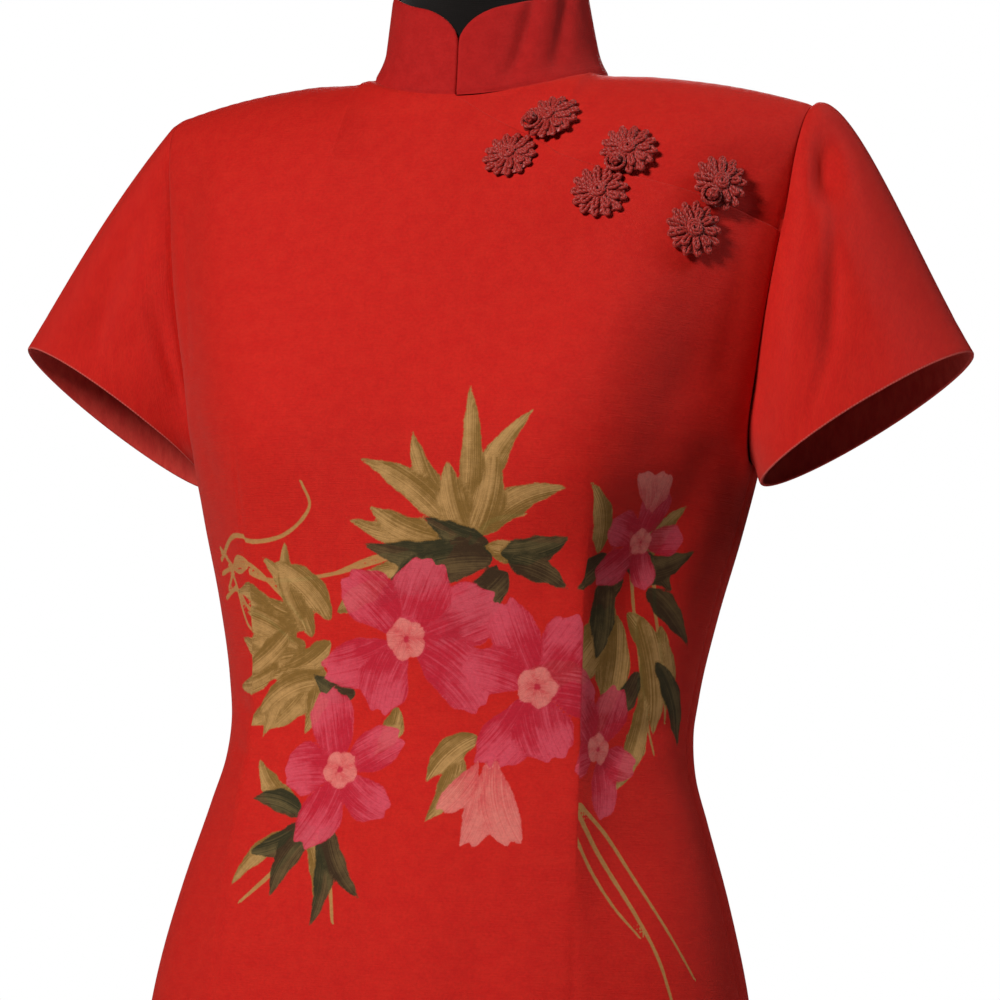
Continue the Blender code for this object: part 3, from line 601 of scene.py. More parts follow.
def smooth_line(knots):
    """Points of a smooth line through its knots."""
    knots = np.array(knots, float)
    ends = np.concatenate(([2 * knots[0] - knots[1]], knots, [2 * knots[-1] - knots[-2]]))
    t = np.linspace(0, 1, 9)[:-1, None]
    line = [
        0.5 * (2 * b + (c - a) * t + (2 * a - 5 * b + 4 * c - d) * t**2 + (3 * b - a - 3 * c + d) * t**3)
        for a, b, c, d in zip(ends, ends[1:], ends[2:], ends[3:])
    ]
    return np.concatenate((*line, knots[-1:]))


def tendril_fields(place):
    """The signed distance from the nearest tendril, which stays exact between the mesh's points, the
    plain distance, and the tendril's half width."""
    signed, half = np.full(place.shape[:-1], FAR_AWAY), np.zeros(place.shape[:-1])
    for knots, width in TENDRILS:
        line = smooth_line(knots)
        for i, (a, b) in enumerate(zip(line, line[1:])):
            way = b - a
            t = np.clip(((place - a) @ way) / (way @ way), 0, 1)
            off = place - a - t[..., None] * way
            away = np.linalg.norm(off, axis=-1)
            nearer = away < abs(signed) - 1e-9
            turn = np.where(off[..., 1] * way[0] - off[..., 0] * way[1] < 0, -1.0, 1.0)
            signed = np.where(nearer, away * turn, signed)
            half = np.where(nearer, width * (1 - 0.5 * (i / len(line)) ** 1.5), half)
    return signed, abs(signed), half


print("points of a smooth line through four knots:", len(smooth_line(((0, 0), (1, 0), (2, 1), (3, 1)))))

# %% [markdown]
# ## Laying out the spray
# The place of each motif is given on the flat cloth: millimetres to the wearer's left of the centre
# front, and millimetres above the waist. Blossoms sit along a slanting branch, leaves fan out at both
# ends, and tendrils curl away. Layers matter as in real painting: leaves first, then petals, then the
# pale hearts, so a later stroke covers an earlier one.

# %% Leaves of the spray
KHAKI_LEAVES = [Leaf(*row) for row in (
    (40, 108, 60, 74, 7.5, 0.08), (36, 110, 88, 78, 7.0, -0.06), (33, 110, 118, 58, 7.5, 0.08),
    (30, 108, 146, 66, 8.5, -0.08), (44, 104, 30, 58, 8.0, 0.10), (28, 104, 172, 62, 7.0, 0.08),
    (30, 98, 196, 58, 7.0, 0.06), (46, 98, 4, 46, 7.0, -0.10), (-58, 52, 152, 64, 9.0, 0.10),
    (-56, 46, 128, 58, 8.0, -0.08), (-60, 42, 176, 68, 10.0, 0.10), (-56, 36, 200, 64, 10.0, -0.10),
    (-52, 32, 226, 54, 9.0, 0.10), (-62, 56, 104, 46, 7.0, 0.12), (-84, 58, 164, 52, 7.0, -0.12),
    (-80, 30, 192, 54, 8.0, 0.08), (-50, 30, 256, 40, 7.0, 0.06), (-66, 50, 190, 40, 8.0, 0.0),
    (-40, 60, 22, 44, 6.5, 0.08), (-70, 20, 214, 44, 7.0, 0.08), (34, -14, 250, 44, 7.5, 0.12),
    (-56, -52, 140, 46, 7.5, 0.10), (-60, -64, 218, 52, 6.0, -0.08), (-50, -66, 282, 40, 5.0, 0.10),
    (128, 70, 244, 58, 9.0, 0.10), (136, 70, 272, 66, 10.0, -0.08), (148, 66, 300, 60, 9.0, 0.08),
    (128, 48, 214, 40, 8.0, 0.10), (162, 56, 262, 58, 9.0, 0.10), (172, 60, 290, 60, 8.0, -0.08),
    (150, 84, 60, 50, 7.5, 0.10), (120, 96, 110, 44, 6.5, -0.10), (160, 20, 250, 56, 8.0, 0.10),
    (100, 34, 188, 34, 7.5, 0.06), (-44, 56, 140, 50, 8.5, -0.10), (-44, 44, 206, 46, 8.5, 0.10),
    (-64, 40, 160, 60, 8.5, -0.06), (-66, 26, 238, 44, 8.0, -0.10), (-46, 24, 206, 56, 7.5, -0.12),
    (-72, 50, 214, 44, 7.0, 0.06), (38, 102, 104, 44, 9.5, 0.06), (42, 102, 74, 50, 9.0, -0.06),
    (28, 100, 158, 52, 9.0, 0.08), (140, 64, 258, 70, 10.0, 0.08), (132, 60, 230, 48, 9.0, -0.06),
    (158, 64, 280, 66, 10.0, 0.06), (-2, 8, 246, 30, 6.5, 0.10), (44, -6, 226, 38, 8.0, -0.10),
)]
DARK_LEAVES = [Leaf(*row) for row in (
    (42, 96, 178, 66, 9.0, 0.08), (46, 92, 204, 70, 11.0, -0.08), (54, 88, 232, 58, 9.0, 0.10),
    (50, 100, 160, 40, 6.5, 0.06), (56, 94, 16, 40, 8.5, -0.08), (60, 90, 338, 36, 7.5, 0.08),
    (-28, 14, 158, 30, 7.0, 0.10), (-54, -54, 168, 38, 7.0, -0.10), (-50, -58, 204, 44, 7.5, 0.10),
    (-46, -60, 238, 48, 8.0, -0.10), (-42, -60, 268, 56, 6.5, 0.10), (-38, -58, 300, 48, 6.0, -0.10),
    (140, 92, 342, 40, 8.5, 0.10), (146, 88, 20, 44, 8.0, -0.10), (142, 84, 238, 40, 7.0, -0.10),
    (168, 40, 296, 52, 7.5, 0.10), (156, 34, 232, 40, 6.5, 0.08), (60, 84, 214, 48, 10.0, 0.08),
    (52, 92, 190, 50, 10.5, -0.06), (130, 84, 262, 46, 9.0, 0.06), (126, 96, 214, 34, 7.5, 0.08),
    (160, 78, 322, 44, 8.0, 0.08),
)]
print("khaki leaves:", len(KHAKI_LEAVES), "dark leaves:", len(DARK_LEAVES))

# %% Blossoms and tendrils of the spray
Blossom = namedtuple("Blossom", "u v radius petals turn heart")
BLOSSOMS = [Blossom(*row) for row in (
    (2, 46, 53, 6, 16, 12.5), (76, 22, 49, 6, 50, 12.0), (-34, -28, 44, 5, 34, 11.5),
    (148, 104, 32, 5, 10, 8.0), (128, -10, 36, 5, 62, 9.0),
)]
PALE_PETALS = [Leaf(*row) for row in (
    (50, -20, 262, 50, 10.0, 0.10), (56, -18, 288, 52, 10.5, -0.10), (46, -20, 236, 36, 7.5, 0.08),
    (150, 120, 74, 26, 8.0, 0.1), (146, 122, 112, 24, 7.0, -0.1),
)]
TENDRILS = (
    (((-152, 92), (-124, 104), (-96, 100), (-72, 104), (-56, 118), (-60, 132)), 1.5),
    (((-154, 84), (-120, 88), (-84, 78), (-40, 82), (10, 96), (34, 104)), 1.4),
    (((-150, 98), (-128, 84), (-104, 88), (-78, 70), (-60, 52)), 1.5),
    (((-146, 76), (-126, 92), (-110, 84), (-116, 68), (-98, 62)), 1.3),
    (((-152, 70), (-134, 74), (-116, 62), (-92, 58), (-70, 44)), 1.5),
    (((-140, 88), (-132, 72), (-120, 54), (-104, 46)), 1.3),
    (((-40, 82), (-12, 92), (12, 90), (30, 98)), 1.2),
    (((112, -40), (128, -62), (150, -92), (166, -122), (174, -150)), 1.5),
    (((118, -42), (140, -60), (164, -92), (190, -134)), 1.3),
    (((108, -38), (118, -62), (140, -94), (156, -112)), 1.2),
    (((-50, -64), (-70, -86), (-92, -104)), 1.7),
    (((-44, -66), (-34, -90), (-30, -112)), 1.5),
    (((150, 110), (164, 84), (172, 44), (178, 8)), 1.5),
    (((140, 108), (152, 70), (158, 30), (170, -10)), 1.3),
    (((40, 100), (52, 112), (70, 116)), 1.6),
)
print("blossoms:", len(BLOSSOMS), "tendrils:", len(TENDRILS))

# %% One stroke after another
RIM_WIDTH, RIM_DARK = 1.5, 0.22  # mm, and how much darker a stroke is at its rim


def lay(paint, layer, field, across, shade, number):
    """Lays one stroke on its layer, and its tone and stripes over those of earlier strokes."""
    rim = np.exp(-((np.maximum(field, 0) / RIM_WIDTH) ** 2))
    shade = np.clip(shade - RIM_DARK * rim, 0, 1)
    paint["tone"] = mix(paint["tone"], shade, np.clip(field + 0.5, 0, 1))
    paint["stripe"] = np.where(field > -0.6, across * 2.2 + number * 1.7, paint["stripe"])
    paint[layer] = np.maximum(paint[layer], field)


def lay_leaves(paint, place, layer, leaves, tone):
    for number, leaf in enumerate(leaves):
        field, share, across = leaf_field(place, leaf)
        lay(paint, layer, field, across, tone + 0.35 * share + 0.20 * np.tanh(4 * across), number)


def lay_blossom(paint, place, flower):
    """Petals of uneven length and width, then five small pale ones, then the heart."""
    middle = (flower.u, flower.v)
    for number in range(flower.petals):
        angle = flower.turn + number * 360 / flower.petals + 7 * math.sin(number * 2.3 + flower.u)
        length = flower.radius * (1 + 0.14 * math.sin(number * 3.7 + flower.v))
        width = flower.radius * (0.30 + 0.04 * math.sin(number * 5.1 + flower.u))
        bend = 0.10 * math.sin(number * 2.9)
        field, share, across = petal_field(place, middle, angle, length, width, bend)
        shade = 0.15 + 0.75 * share**1.3 - 0.12 * np.exp(-(((share - 0.45) / 0.08) ** 2))
        lay(paint, "petal", field, across, shade + 0.15 * np.tanh(3 * across), number)
    for number in range(5):
        angle = flower.turn + 20 + number * 72
        field, share, across = petal_field(place, middle, angle, flower.heart, flower.heart * 0.46)
        lay(paint, "pale", field, across, 0.35 + 0.5 * share, number)
    away = np.linalg.norm(place - middle, axis=-1)
    paint["heart"] = np.maximum(paint["heart"], 0.15 * flower.heart - away)


print("petals to lay:", sum(flower.petals + 5 for flower in BLOSSOMS))

# %% Fields of the whole spray
BARE = -9.0  # mm, outside all paint
FIELD_GROUPS = {
    "spray_paint": ("khaki", "dark", "petal", "pale"),
    "spray_brush": ("tone", "stripe", "heart", "signed"),
    "spray_line": ("half", "away", "away", "away"),
}


def spray_fields(place):
    """For each place, in mm: how far inside each layer of paint, the stroke's tone and stripe, and the
    tendrils' distances and half width."""
    paint = {layer: np.full(place.shape[:-1], BARE) for layer in ("khaki", "dark", "petal", "pale", "heart")}
    paint["tone"], paint["stripe"] = np.full(place.shape[:-1], 0.5), np.zeros(place.shape[:-1])
    lay_leaves(paint, place, "khaki", KHAKI_LEAVES, 0.30)
    lay_leaves(paint, place, "dark", DARK_LEAVES, 0.25)
    for flower in BLOSSOMS:
        lay_blossom(paint, place, flower)
    for number, leaf in enumerate(PALE_PETALS):
        field, share, across = petal_field(place, leaf[:2], *leaf[2:])
        lay(paint, "pale", field, across, 0.30 + 0.55 * share, number)
    paint["signed"], paint["away"], paint["half"] = tendril_fields(place)
    return paint


def keep_fields(mesh, paint):
    """Stores the fields on the mesh's first vertices, four to an attribute, and bare cloth on the rest."""
    for name, layers in FIELD_GROUPS.items():
        grid = np.stack([paint[layer] for layer in layers], -1).reshape(-1, 4)
        values = np.full((len(mesh.vertices), 4), BARE, np.float32)
        values[: len(grid)] = grid
        mesh.color_attributes.new(name, "FLOAT_COLOR", "POINT").data.foreach_set("color", values.ravel())


heart_paint = spray_fields(np.array([[float(BLOSSOMS[0].u), float(BLOSSOMS[0].v)]]))
print("the first blossom's heart reaches", short(heart_paint["heart"], 1), "mm from its middle")

# %% [markdown]
# ## Materials from nodes
# A material is a small network: coordinates go in, patterns come out, and they feed the shader's
# colour, roughness and bump. A helper that adds one node at a time keeps each network short to read.
# Anything that is the same all over a surface is set on the shader itself, and only what varies is
# wired.

# %% Nodes, one at a time
def feed(tree, socket, value):
    """Wires a node's output to the socket, or sets a plain value on it."""
    if isinstance(value, bpy.types.NodeSocket):
        tree.links.new(value, socket)
    else:
        socket.default_value = value


def add(tree, kind, values=(), settings=(), **inputs):
    """values feed the first inputs in order, inputs feed those that they name."""
    made = tree.nodes.new("ShaderNode" + kind)
    for key, value in dict(settings).items():
        setattr(made, key, value)
    for socket, value in zip(made.inputs, values):
        feed(tree, socket, value)
    for key, value in inputs.items():
        feed(tree, made.inputs[key], value)
    return made


def sums(tree, operation, *values):
    return add(tree, "Math", values, {"operation": operation}).outputs[0]


def plus(tree, *values):
    return sums(tree, "ADD", *values)


def times(tree, *values):
    return sums(tree, "MULTIPLY", *values)


print("shader nodes to choose from:", sum(name.startswith("ShaderNode") for name in dir(bpy.types)))

# %% Mixed colours, stretched values
def over(tree, share, below, above, blend="MIX"):
    """Colour above laid over colour below by share."""
    made = add(tree, "Mix", settings={"data_type": "RGBA", "blend_type": blend})
    for number, value in ((0, share), (6, below), (7, above)):
        feed(tree, made.inputs[number], value)
    return made.outputs[2]


def stretch(tree, value, low, high, to_low=0.0, to_high=1.0, smooth=True):
    made = add(tree, "MapRange", (value, low, high, to_low, to_high))
    made.interpolation_type = "SMOOTHSTEP" if smooth else "LINEAR"
    return made.outputs[0]


blends = bpy.types.ShaderNodeMix.bl_rna.properties["blend_type"].enum_items
print("ways to lay one colour over another:", len(blends))

# %% Places and patterns
def flat_place(tree):
    return add(tree, "UVMap", settings={"uv_map": "weave"}).outputs[0]


def solid_place(tree):
    return add(tree, "NewGeometry").outputs["Position"]


def stored(tree, name):
    return add(tree, "Attribute", settings={"attribute_name": name}).outputs


def split(tree, colour):
    return add(tree, "SeparateColor", Color=colour).outputs[:3]


def noise(tree, place, scale, detail=2.0, rough=0.5):
    return add(tree, "TexNoise", Vector=place, Scale=scale, Detail=detail, Roughness=rough).outputs["Fac"]


def waves(tree, place, spacing, direction="X", **more):
    """Even lines at this spacing, as 0 to 1 to 0."""
    made = add(tree, "TexWave", Vector=place, Scale=2 * math.pi / (20 * spacing), **more)
    made.bands_direction = direction
    return made.outputs["Fac"]


print("the scale of waves that lie a millimetre apart:", short(2 * math.pi / (20 * 0.001), 1))

# %% Starting and finishing a material
def start_material(name):
    material = bpy.data.materials.new(name)
    material.use_nodes = True
    return material, material.node_tree


def finish_shader(tree, colour, roughness, height, bump, strength=1.0, **fixed):
    """Wires what varies, with bumps of this depth, and sets what is the same all over."""
    normal = add(tree, "Bump", Strength=strength, Distance=bump, Height=height).outputs[0]
    shader = tree.nodes["Principled BSDF"]
    for socket, value in (("Base Color", colour), ("Roughness", roughness), ("Normal", normal)):
        feed(tree, shader.inputs[socket], value)
    for socket, value in fixed.items():
        shader.inputs[socket.replace("_", " ")].default_value = value


def linear(red, green, blue):
    """A colour given as 0 to 255 values, as the shader wants it."""
    value = np.array((red, green, blue)) / 255
    return (*np.where(value <= 0.04045, value / 12.92, ((value + 0.055) / 1.055) ** 2.4).tolist(), 1.0)


print("a middle grey for the shader:", short(linear(128, 128, 128)))

# %% [markdown]
# ## Dyed crepe
# The cloth is a matt silk-like crepe: fine threads crossing at right angles, thicker and thinner in
# places, dyed a warm red that is never quite even. An image of cloth could be wrapped on, but it
# would repeat. Instead two waves cross for the threads, a long thin noise makes the uneven weft, and a
# slow noise shifts the dye. The threads are bumps; a little sheen gives the soft glow at a glance.

# %% Dyes, paints and threads
THREAD = 0.00055  # distance from thread to thread
RED, RED_DEEP, RED_WARM = linear(204, 30, 22), linear(201, 27, 21), linear(207, 34, 24)
KHAKI, KHAKI_LIGHT, OLIVE = linear(172, 126, 66), linear(190, 150, 92), linear(124, 98, 44)
DARK, DARK_LIGHT = linear(44, 44, 26), linear(98, 84, 52)
PINK, PINK_LIGHT, PINK_DEEP = linear(204, 42, 74), linear(216, 78, 96), linear(190, 30, 52)
PALE, PALE_LIGHT = linear(214, 84, 84), linear(228, 128, 118)


def threads(tree, uv, thread):
    """Crossing threads as a height from -0.25 to 0.25, and the uneven weft as 0 to 1."""
    warp, weft = (sums(tree, "SUBTRACT", waves(tree, uv, thread, way), 0.5) for way in "XY")
    crossing = times(tree, warp, weft)
    long = add(tree, "Mapping", Vector=uv, Scale=(60.0, 1500.0, 1.0)).outputs[0]
    return crossing, noise(tree, long, 1.0, 3.0, 0.6)


print("threads to the centimetre:", round(0.01 / THREAD))

# %% The painted spray over the cloth
def paint_spray(tree, uv, cloth):
    """The cloth's colour with the spray's layers over it, and how much paint lies on it."""
    paint, brush, line = (stored(tree, name) for name in FIELD_GROUPS)
    khaki, dark, petal = split(tree, paint["Color"])
    tone, stripe, heart = split(tree, brush["Color"])
    pale, signed = paint["Alpha"], brush["Alpha"]
    bristle = stretch(tree, noise(tree, uv, 1100.0, 3.0, 0.6), 0.2, 0.8, -0.45, 0.45, False)
    wobble = stretch(tree, noise(tree, uv, 190.0, 2.0, 0.5), 0.2, 0.8, -0.60, 0.60, False)
    rough_edge = plus(tree, bristle, wobble)
    hair_place = (times(tree, stripe, 3.1), times(tree, tone, 0.9), 0.0)
    streak = noise(tree, add(tree, "CombineXYZ", hair_place).outputs[0], 1.6, 3.0, 0.65)
    blotch = noise(tree, uv, 120.0, 3.0, 0.6)
    shade = plus(tree, tone, stretch(tree, streak, 0.3, 0.7, -0.34, 0.34, False))
    shade = plus(tree, shade, stretch(tree, blotch, 0.3, 0.7, -0.16, 0.16, False))

    def layer(below, field, cover, dark_colour, light_colour, soft=0.55):
        mask = stretch(tree, plus(tree, field, rough_edge), -soft, soft, 0.0, cover)
        brushed = over(tree, stretch(tree, shade, 0.1, 0.9), dark_colour, light_colour)
        return over(tree, mask, below, brushed), mask

    half_width, plain, _ = split(tree, line["Color"])
    away = sums(tree, "SUBTRACT", half_width, sums(tree, "ABSOLUTE", signed))
    thin = plus(tree, away, times(tree, rough_edge, 0.35))
    thin = stretch(tree, thin, -0.35, 0.45, 0.0, 0.85)
    painted = times(tree, thin, stretch(tree, plain, 1.7, 2.1, 1.0, 0.0))
    colour = over(tree, painted, cloth, over(tree, blotch, KHAKI, KHAKI_LIGHT))
    for field, cover, dark_colour, light_colour in (
        (khaki, 0.94, OLIVE, KHAKI_LIGHT),
        (dark, 0.96, DARK, DARK_LIGHT),
        (petal, 0.92, PINK_DEEP, PINK_LIGHT),
        (pale, 0.92, PALE, PALE_LIGHT),
    ):
        colour, mask = layer(colour, field, cover, dark_colour, light_colour)
        painted = sums(tree, "MAXIMUM", painted, mask)
    return layer(colour, heart, 0.9, PINK_DEEP, PINK)[0], painted


print("layers of paint:", ", ".join(FIELD_GROUPS["spray_paint"]))

# %% Red crepe, with or without the painted spray
STITCH_LENGTH, STITCH_WIDTH = 0.0021, 0.0012
SHEEN_TINT = (1.0, 0.50, 0.42, 1.0)


def stitches_and_painted_edge_highlight(tree, uv, cloth):
    """The cloth's colour with a fine pale line along a cuff's edge: stitches, and a painted highlight on the
    edge.
    """
    line = stretch(tree, stored(tree, "to_edge")["Fac"], 0.0004, STITCH_WIDTH, 0.6, 0.0)
    stitches = stretch(tree, waves(tree, uv, STITCH_LENGTH), 0.2, 0.7, 0.35, 1.0)
    return over(tree, times(tree, line, stitches), cloth, PALE_LIGHT)


def crepe(name, red, red_deep, red_warm, spray=False, pale_stitches_and_painted_highlight=False, sheen=0.12, bump=0.00022):
    material, tree = start_material(name)
    uv = flat_place(tree)
    crossing, weft = threads(tree, uv, THREAD)
    dye = noise(tree, uv, 110.0, 3.0, 0.6)
    fleck = noise(tree, uv, 520.0, 2.0, 0.7)
    colour = over(tree, stretch(tree, dye, 0.32, 0.68), red_deep, red_warm)
    colour = over(tree, stretch(tree, weft, 0.35, 0.75, 0.0, 0.55), colour, red)
    colour = over(tree, stretch(tree, fleck, 0.45, 0.8, 0.0, 0.35), colour, red_deep)
    roughness = stretch(tree, weft, 0.2, 0.8, 0.50, 0.66, False)
    height = plus(tree, crossing, stretch(tree, weft, 0.2, 0.8, -0.35, 0.35, False))
    if spray:
        colour, painted = paint_spray(tree, uv, colour)
        roughness = plus(tree, roughness, times(tree, painted, 0.08))
        height = plus(tree, height, times(tree, painted, 0.30))
    # A pale line along the cuff's edge: stitches, and the edge's painted highlight.
    if pale_stitches_and_painted_highlight:
        colour = stitches_and_painted_edge_highlight(tree, uv, colour)
    # Painted shade: the cloth is darker where the threads dip, made uneven by a random fleck.
    thread_shade = stretch(tree, crossing, -0.25, 0.25, 0.94, 1.05, False)
    shade = times(tree, thread_shade, stretch(tree, fleck, 0.3, 0.7, 0.90, 1.08, False))
    colour = over(tree, 1.0, colour, add(tree, "CombineColor", (shade, shade, shade)).outputs[0], "MULTIPLY")
    soft = {"Sheen_Weight": sheen, "Sheen_Roughness": 0.45, "Sheen_Tint": SHEEN_TINT}
    finish_shader(tree, colour, roughness, height, bump, Specular_IOR_Level=0.12, **soft)
    return material


printed_crepe = crepe("printed_crepe", RED, RED_DEEP, RED_WARM, spray=True)
plain_crepe = crepe("plain_crepe", RED, RED_DEEP, RED_WARM)
sleeve_crepe = crepe("sleeve_crepe", RED, RED_DEEP, RED_WARM, pale_stitches_and_painted_highlight=True)
collar_crepe = crepe("collar_crepe", linear(184, 26, 25), linear(178, 23, 22), linear(190, 30, 28))
# The lining is the red cloth's wrong side, painted paler than it is: painted light in the shaded insides of
# the cuffs.
lining_with_painted_light = crepe("lining_with_painted_light", linear(205, 58, 50), linear(196, 50, 44), linear(212, 66, 56), sheen=0.1)
print("nodes in the printed crepe:", len(printed_crepe.node_tree.nodes))

# %% [markdown]
# ## Cord, jersey and paint
# The frogs are bent from a twisted cord, so their shader draws slanting strands round it. The form is
# covered in black knitted jersey: rows of tiny loops, almost without gloss. Its stand is painted steel
# with the faint orange-peel of a sprayed coat. One shader with other numbers would do for all three,
# but what tells them apart is exactly the small pattern each has.

# %% Twisted cord
STRAND = 1 / 900  # distance from strand to strand


def twisted_cord(name):
    material, tree = start_material(name)
    uv = flat_place(tree)
    strand = waves(tree, uv, STRAND, "DIAGONAL", Distortion=0.6, Detail=1.0)
    fuzz = noise(tree, uv, 2600.0, 2.0, 0.6)
    dye = noise(tree, solid_place(tree), 130.0)
    # The strands are lighter on their crests and darker in the grooves between them: painted shade in the
    # grooves.
    colour = over(tree, stretch(tree, strand, 0.1, 0.9), linear(140, 24, 18), linear(184, 42, 32))
    colour = over(tree, stretch(tree, dye, 0.35, 0.7, 0.0, 0.5), colour, linear(162, 30, 23))
    height = plus(tree, strand, times(tree, fuzz, 0.3))
    roughness = stretch(tree, fuzz, 0.3, 0.7, 0.42, 0.6, False)
    soft = {"Sheen_Weight": 0.35, "Sheen_Roughness": 0.4, "Sheen_Tint": (1.0, 0.55, 0.5, 1.0)}
    finish_shader(tree, colour, roughness, height, 0.00025, **soft)
    return material


frog_cord = twisted_cord("frog_cord")
print("nodes in the cord:", len(frog_cord.node_tree.nodes))

# %% Black jersey
STITCH = 0.0016  # width of one loop of the jersey; its rows are closer


def black_jersey(name):
    material, tree = start_material(name)
    uv = flat_place(tree)
    wales = waves(tree, uv, STITCH, Distortion=0.4)
    courses = waves(tree, uv, STITCH / 1.3, "Y", Distortion=0.4)
    lint = noise(tree, uv, 300.0, 3.0, 0.7)
    # The jersey is lighter along each wale and darker between them: painted shade between the loops.
    colour = over(tree, stretch(tree, wales, 0.2, 0.9), linear(11, 8, 7), linear(27, 21, 19))
    colour = over(tree, stretch(tree, lint, 0.55, 0.85, 0.0, 0.35), colour, linear(48, 42, 42))
    height = plus(tree, wales, times(tree, courses, 0.5))
    roughness = stretch(tree, lint, 0.3, 0.7, 0.80, 0.95, False)
    finish_shader(tree, colour, roughness, height, 0.0003, 0.8, Specular_IOR_Level=0.15, Sheen_Weight=0.08)
    return material


form_jersey = black_jersey("form_jersey")
print("nodes in the jersey:", len(form_jersey.node_tree.nodes))

# %% Sprayed paint on steel
def sprayed_paint(name, colour, worn, gloss, peel=0.00012):
    material, tree = start_material(name)
    place = solid_place(tree)
    grain, scuff = noise(tree, place, 700.0, 2.0), noise(tree, place, 26.0, 6.0, 0.7)
    edge = stretch(tree, add(tree, "NewGeometry").outputs["Pointiness"], 0.52, 0.60)
    wear = times(tree, edge, stretch(tree, scuff, 0.45, 0.7))
    tint = over(tree, stretch(tree, scuff, 0.3, 0.8, 0.0, 0.4), colour, worn)
    roughness = stretch(tree, scuff, 0.3, 0.8, gloss, gloss + 0.2, False)
    coat = {"Coat_Weight": 0.15, "Coat_Roughness": 0.25}
    finish_shader(tree, over(tree, wear, tint, worn), roughness, grain, peel, 0.5, **coat)
    return material


cap_paint = sprayed_paint("cap_paint", linear(14, 13, 13), linear(44, 41, 40), 0.28)
stand_paint = sprayed_paint("stand_paint", linear(26, 26, 27), linear(70, 70, 72), 0.34)
print("finishes:", ", ".join(material.name for material in bpy.data.materials))

# %% [markdown]
# ## Panels of the dress
# The front is one piece from hem to shoulder, shaped by two long darts; on the wearer's left its top
# edge is the slanting opening, and a separate flap carries on under it up to the shoulder. The back is
# one piece. Each is a fine grid of shares and rises with extra lines beside edges and seams, so the
# rounding and the dips are real shape. A subdivided coarse grid would lose them.

# %% The opening and the flap under it
Opening = namedtuple("Opening", "share rise")
OPENING_ROWS = ((0.00, 1.000), (0.15, 0.880), (0.33, 0.765), (0.51, 0.706), (0.73, 0.668), (1.00, 0.625))
opening = smooth_rows([Opening(*row) for row in OPENING_ROWS])
FLAP_UNDER, FLAP_GAP = 0.14, 0.0010  # how far the flap reaches under the front, and what lies between


def opening_rise(share):
    """The front panel's top edge: the neck and shoulder on the right, the opening on the left."""
    return np.where(share <= 0, 1.0, opening(np.maximum(share, 0)).rise)


def flap_inset(share, rise):
    """How far the flap lies inside the front's place: clear under the front, level at the shoulder."""
    return (CLOTH + FLAP_GAP) * (1 - ease((rise - opening_rise(share) - 0.02) / 0.12))


print("the opening falls to", short(opening_rise(1.0)), "of the armhole's height")

# %% Lines of the panel grids
SIDE_LINES = (0.0, 0.0014, 0.0032, 0.0056, 0.0090)  # shares from a panel's side, close together at its edge
TOP_LINES = (0.0, 0.0030, 0.0065, 0.0110, 0.0180)  # the same for its top edge
HEM_LINES = (0.0, 0.0006, 0.0014, 0.0026, 0.0045)  # metres from the hem
BELOW_TOP = 1 - TOP_LINES[-1]


def to_step(lines, step):
    """Adds lines in the widest gaps until their number fits the coarse inner grid."""
    lines = sorted(lines)
    while (len(lines) - 1) % step:
        widest = int(np.argmax(np.diff(lines)))
        lines.insert(widest + 1, (lines[widest] + lines[widest + 1]) / 2)
    return np.array(lines)


def column_lines(middle, outer, step):
    """Shares of a panel's columns, with two extra lines beside each dart."""
    half = np.linspace(0, DART_SHARE, middle + 1).tolist() + [DART_SHARE - 0.006, DART_SHARE + 0.003]
    half += np.linspace(DART_SHARE, 1 - SIDE_LINES[-1], outer + 1)[1:-1].tolist()
    half = to_step(half + [1 - line for line in SIDE_LINES], step)
    return np.concatenate((-half[:0:-1], half))


def spaced(start, spans):
    """Even steps over one span after another, each given as its end and its number of steps."""
    lines = []
    for end, count in spans:
        lines += np.linspace(start, end, count + 1)[1:].tolist()
        start = end
    return lines


def row_lines(low, high, step):
    """Rises of a panel's rows: spans in metres up to the underarm, then in shares up to the top edge."""
    heights = [HEM_Z + line for line in HEM_LINES] + spaced(HEM_Z + HEM_LINES[-1], low)
    shares = spaced(0.0, high) + [1 - line for line in TOP_LINES[:-1]]
    return to_step([z - UNDERARM_Z for z in heights] + shares, step)


print("extra lines beside an edge:", len(SIDE_LINES))

# %% Valleys at the armholes, hollows at the sides
Valley = namedtuple("Valley", "depth width")
ARMHOLE_VALLEYS = {  # by side and hand
    (-1, 1): Valley(0.0165, 0.070),
    (-1, -1): Valley(0.0100, 0.055),
    (1, 1): Valley(0.0022, 0.022),
    (1, -1): Valley(0.0022, 0.022),
}
HOLLOW_LEFT, HOLLOW_RIGHT = 0.0085, 0.0010  # depth of the hollows between dart and side seam


def armhole_valley(hand, side, rise, distance):
    """How far the cloth sinks towards the armhole's seam, where the sleeve's cap stands over it."""
    valley = ARMHOLE_VALLEYS[side, hand]
    near = np.maximum(0, 1 - distance / valley.width) ** 2
    return -valley.depth * band(rise, 0, 0.22, 0.66, 0.32) * near * (rise > 0)


def side_hollow(share, z):
    """The front sinks between dart and side seam, from the waist to beside the bust."""
    out = np.clip((abs(share) - DART_SHARE) / (1 - DART_SHARE), 0, 1)
    low = band(z, 0.90, 0.08, 1.14, 0.06) * (0.8 + 0.2 * ease((z - 1.04) / 0.08))
    high = band(z, 1.14, 0.06, 1.25, 0.06)
    hollow = 6.75 * out * (1 - out) ** 2 * low + 0.4 * np.sin(math.pi * out**0.8) ** 2 * high
    return -np.where(share > 0, HOLLOW_LEFT, HOLLOW_RIGHT) * hollow


print("the left armhole's seam lies", ARMHOLE_VALLEYS[-1, 1].depth * 1000, "mm deep in front")

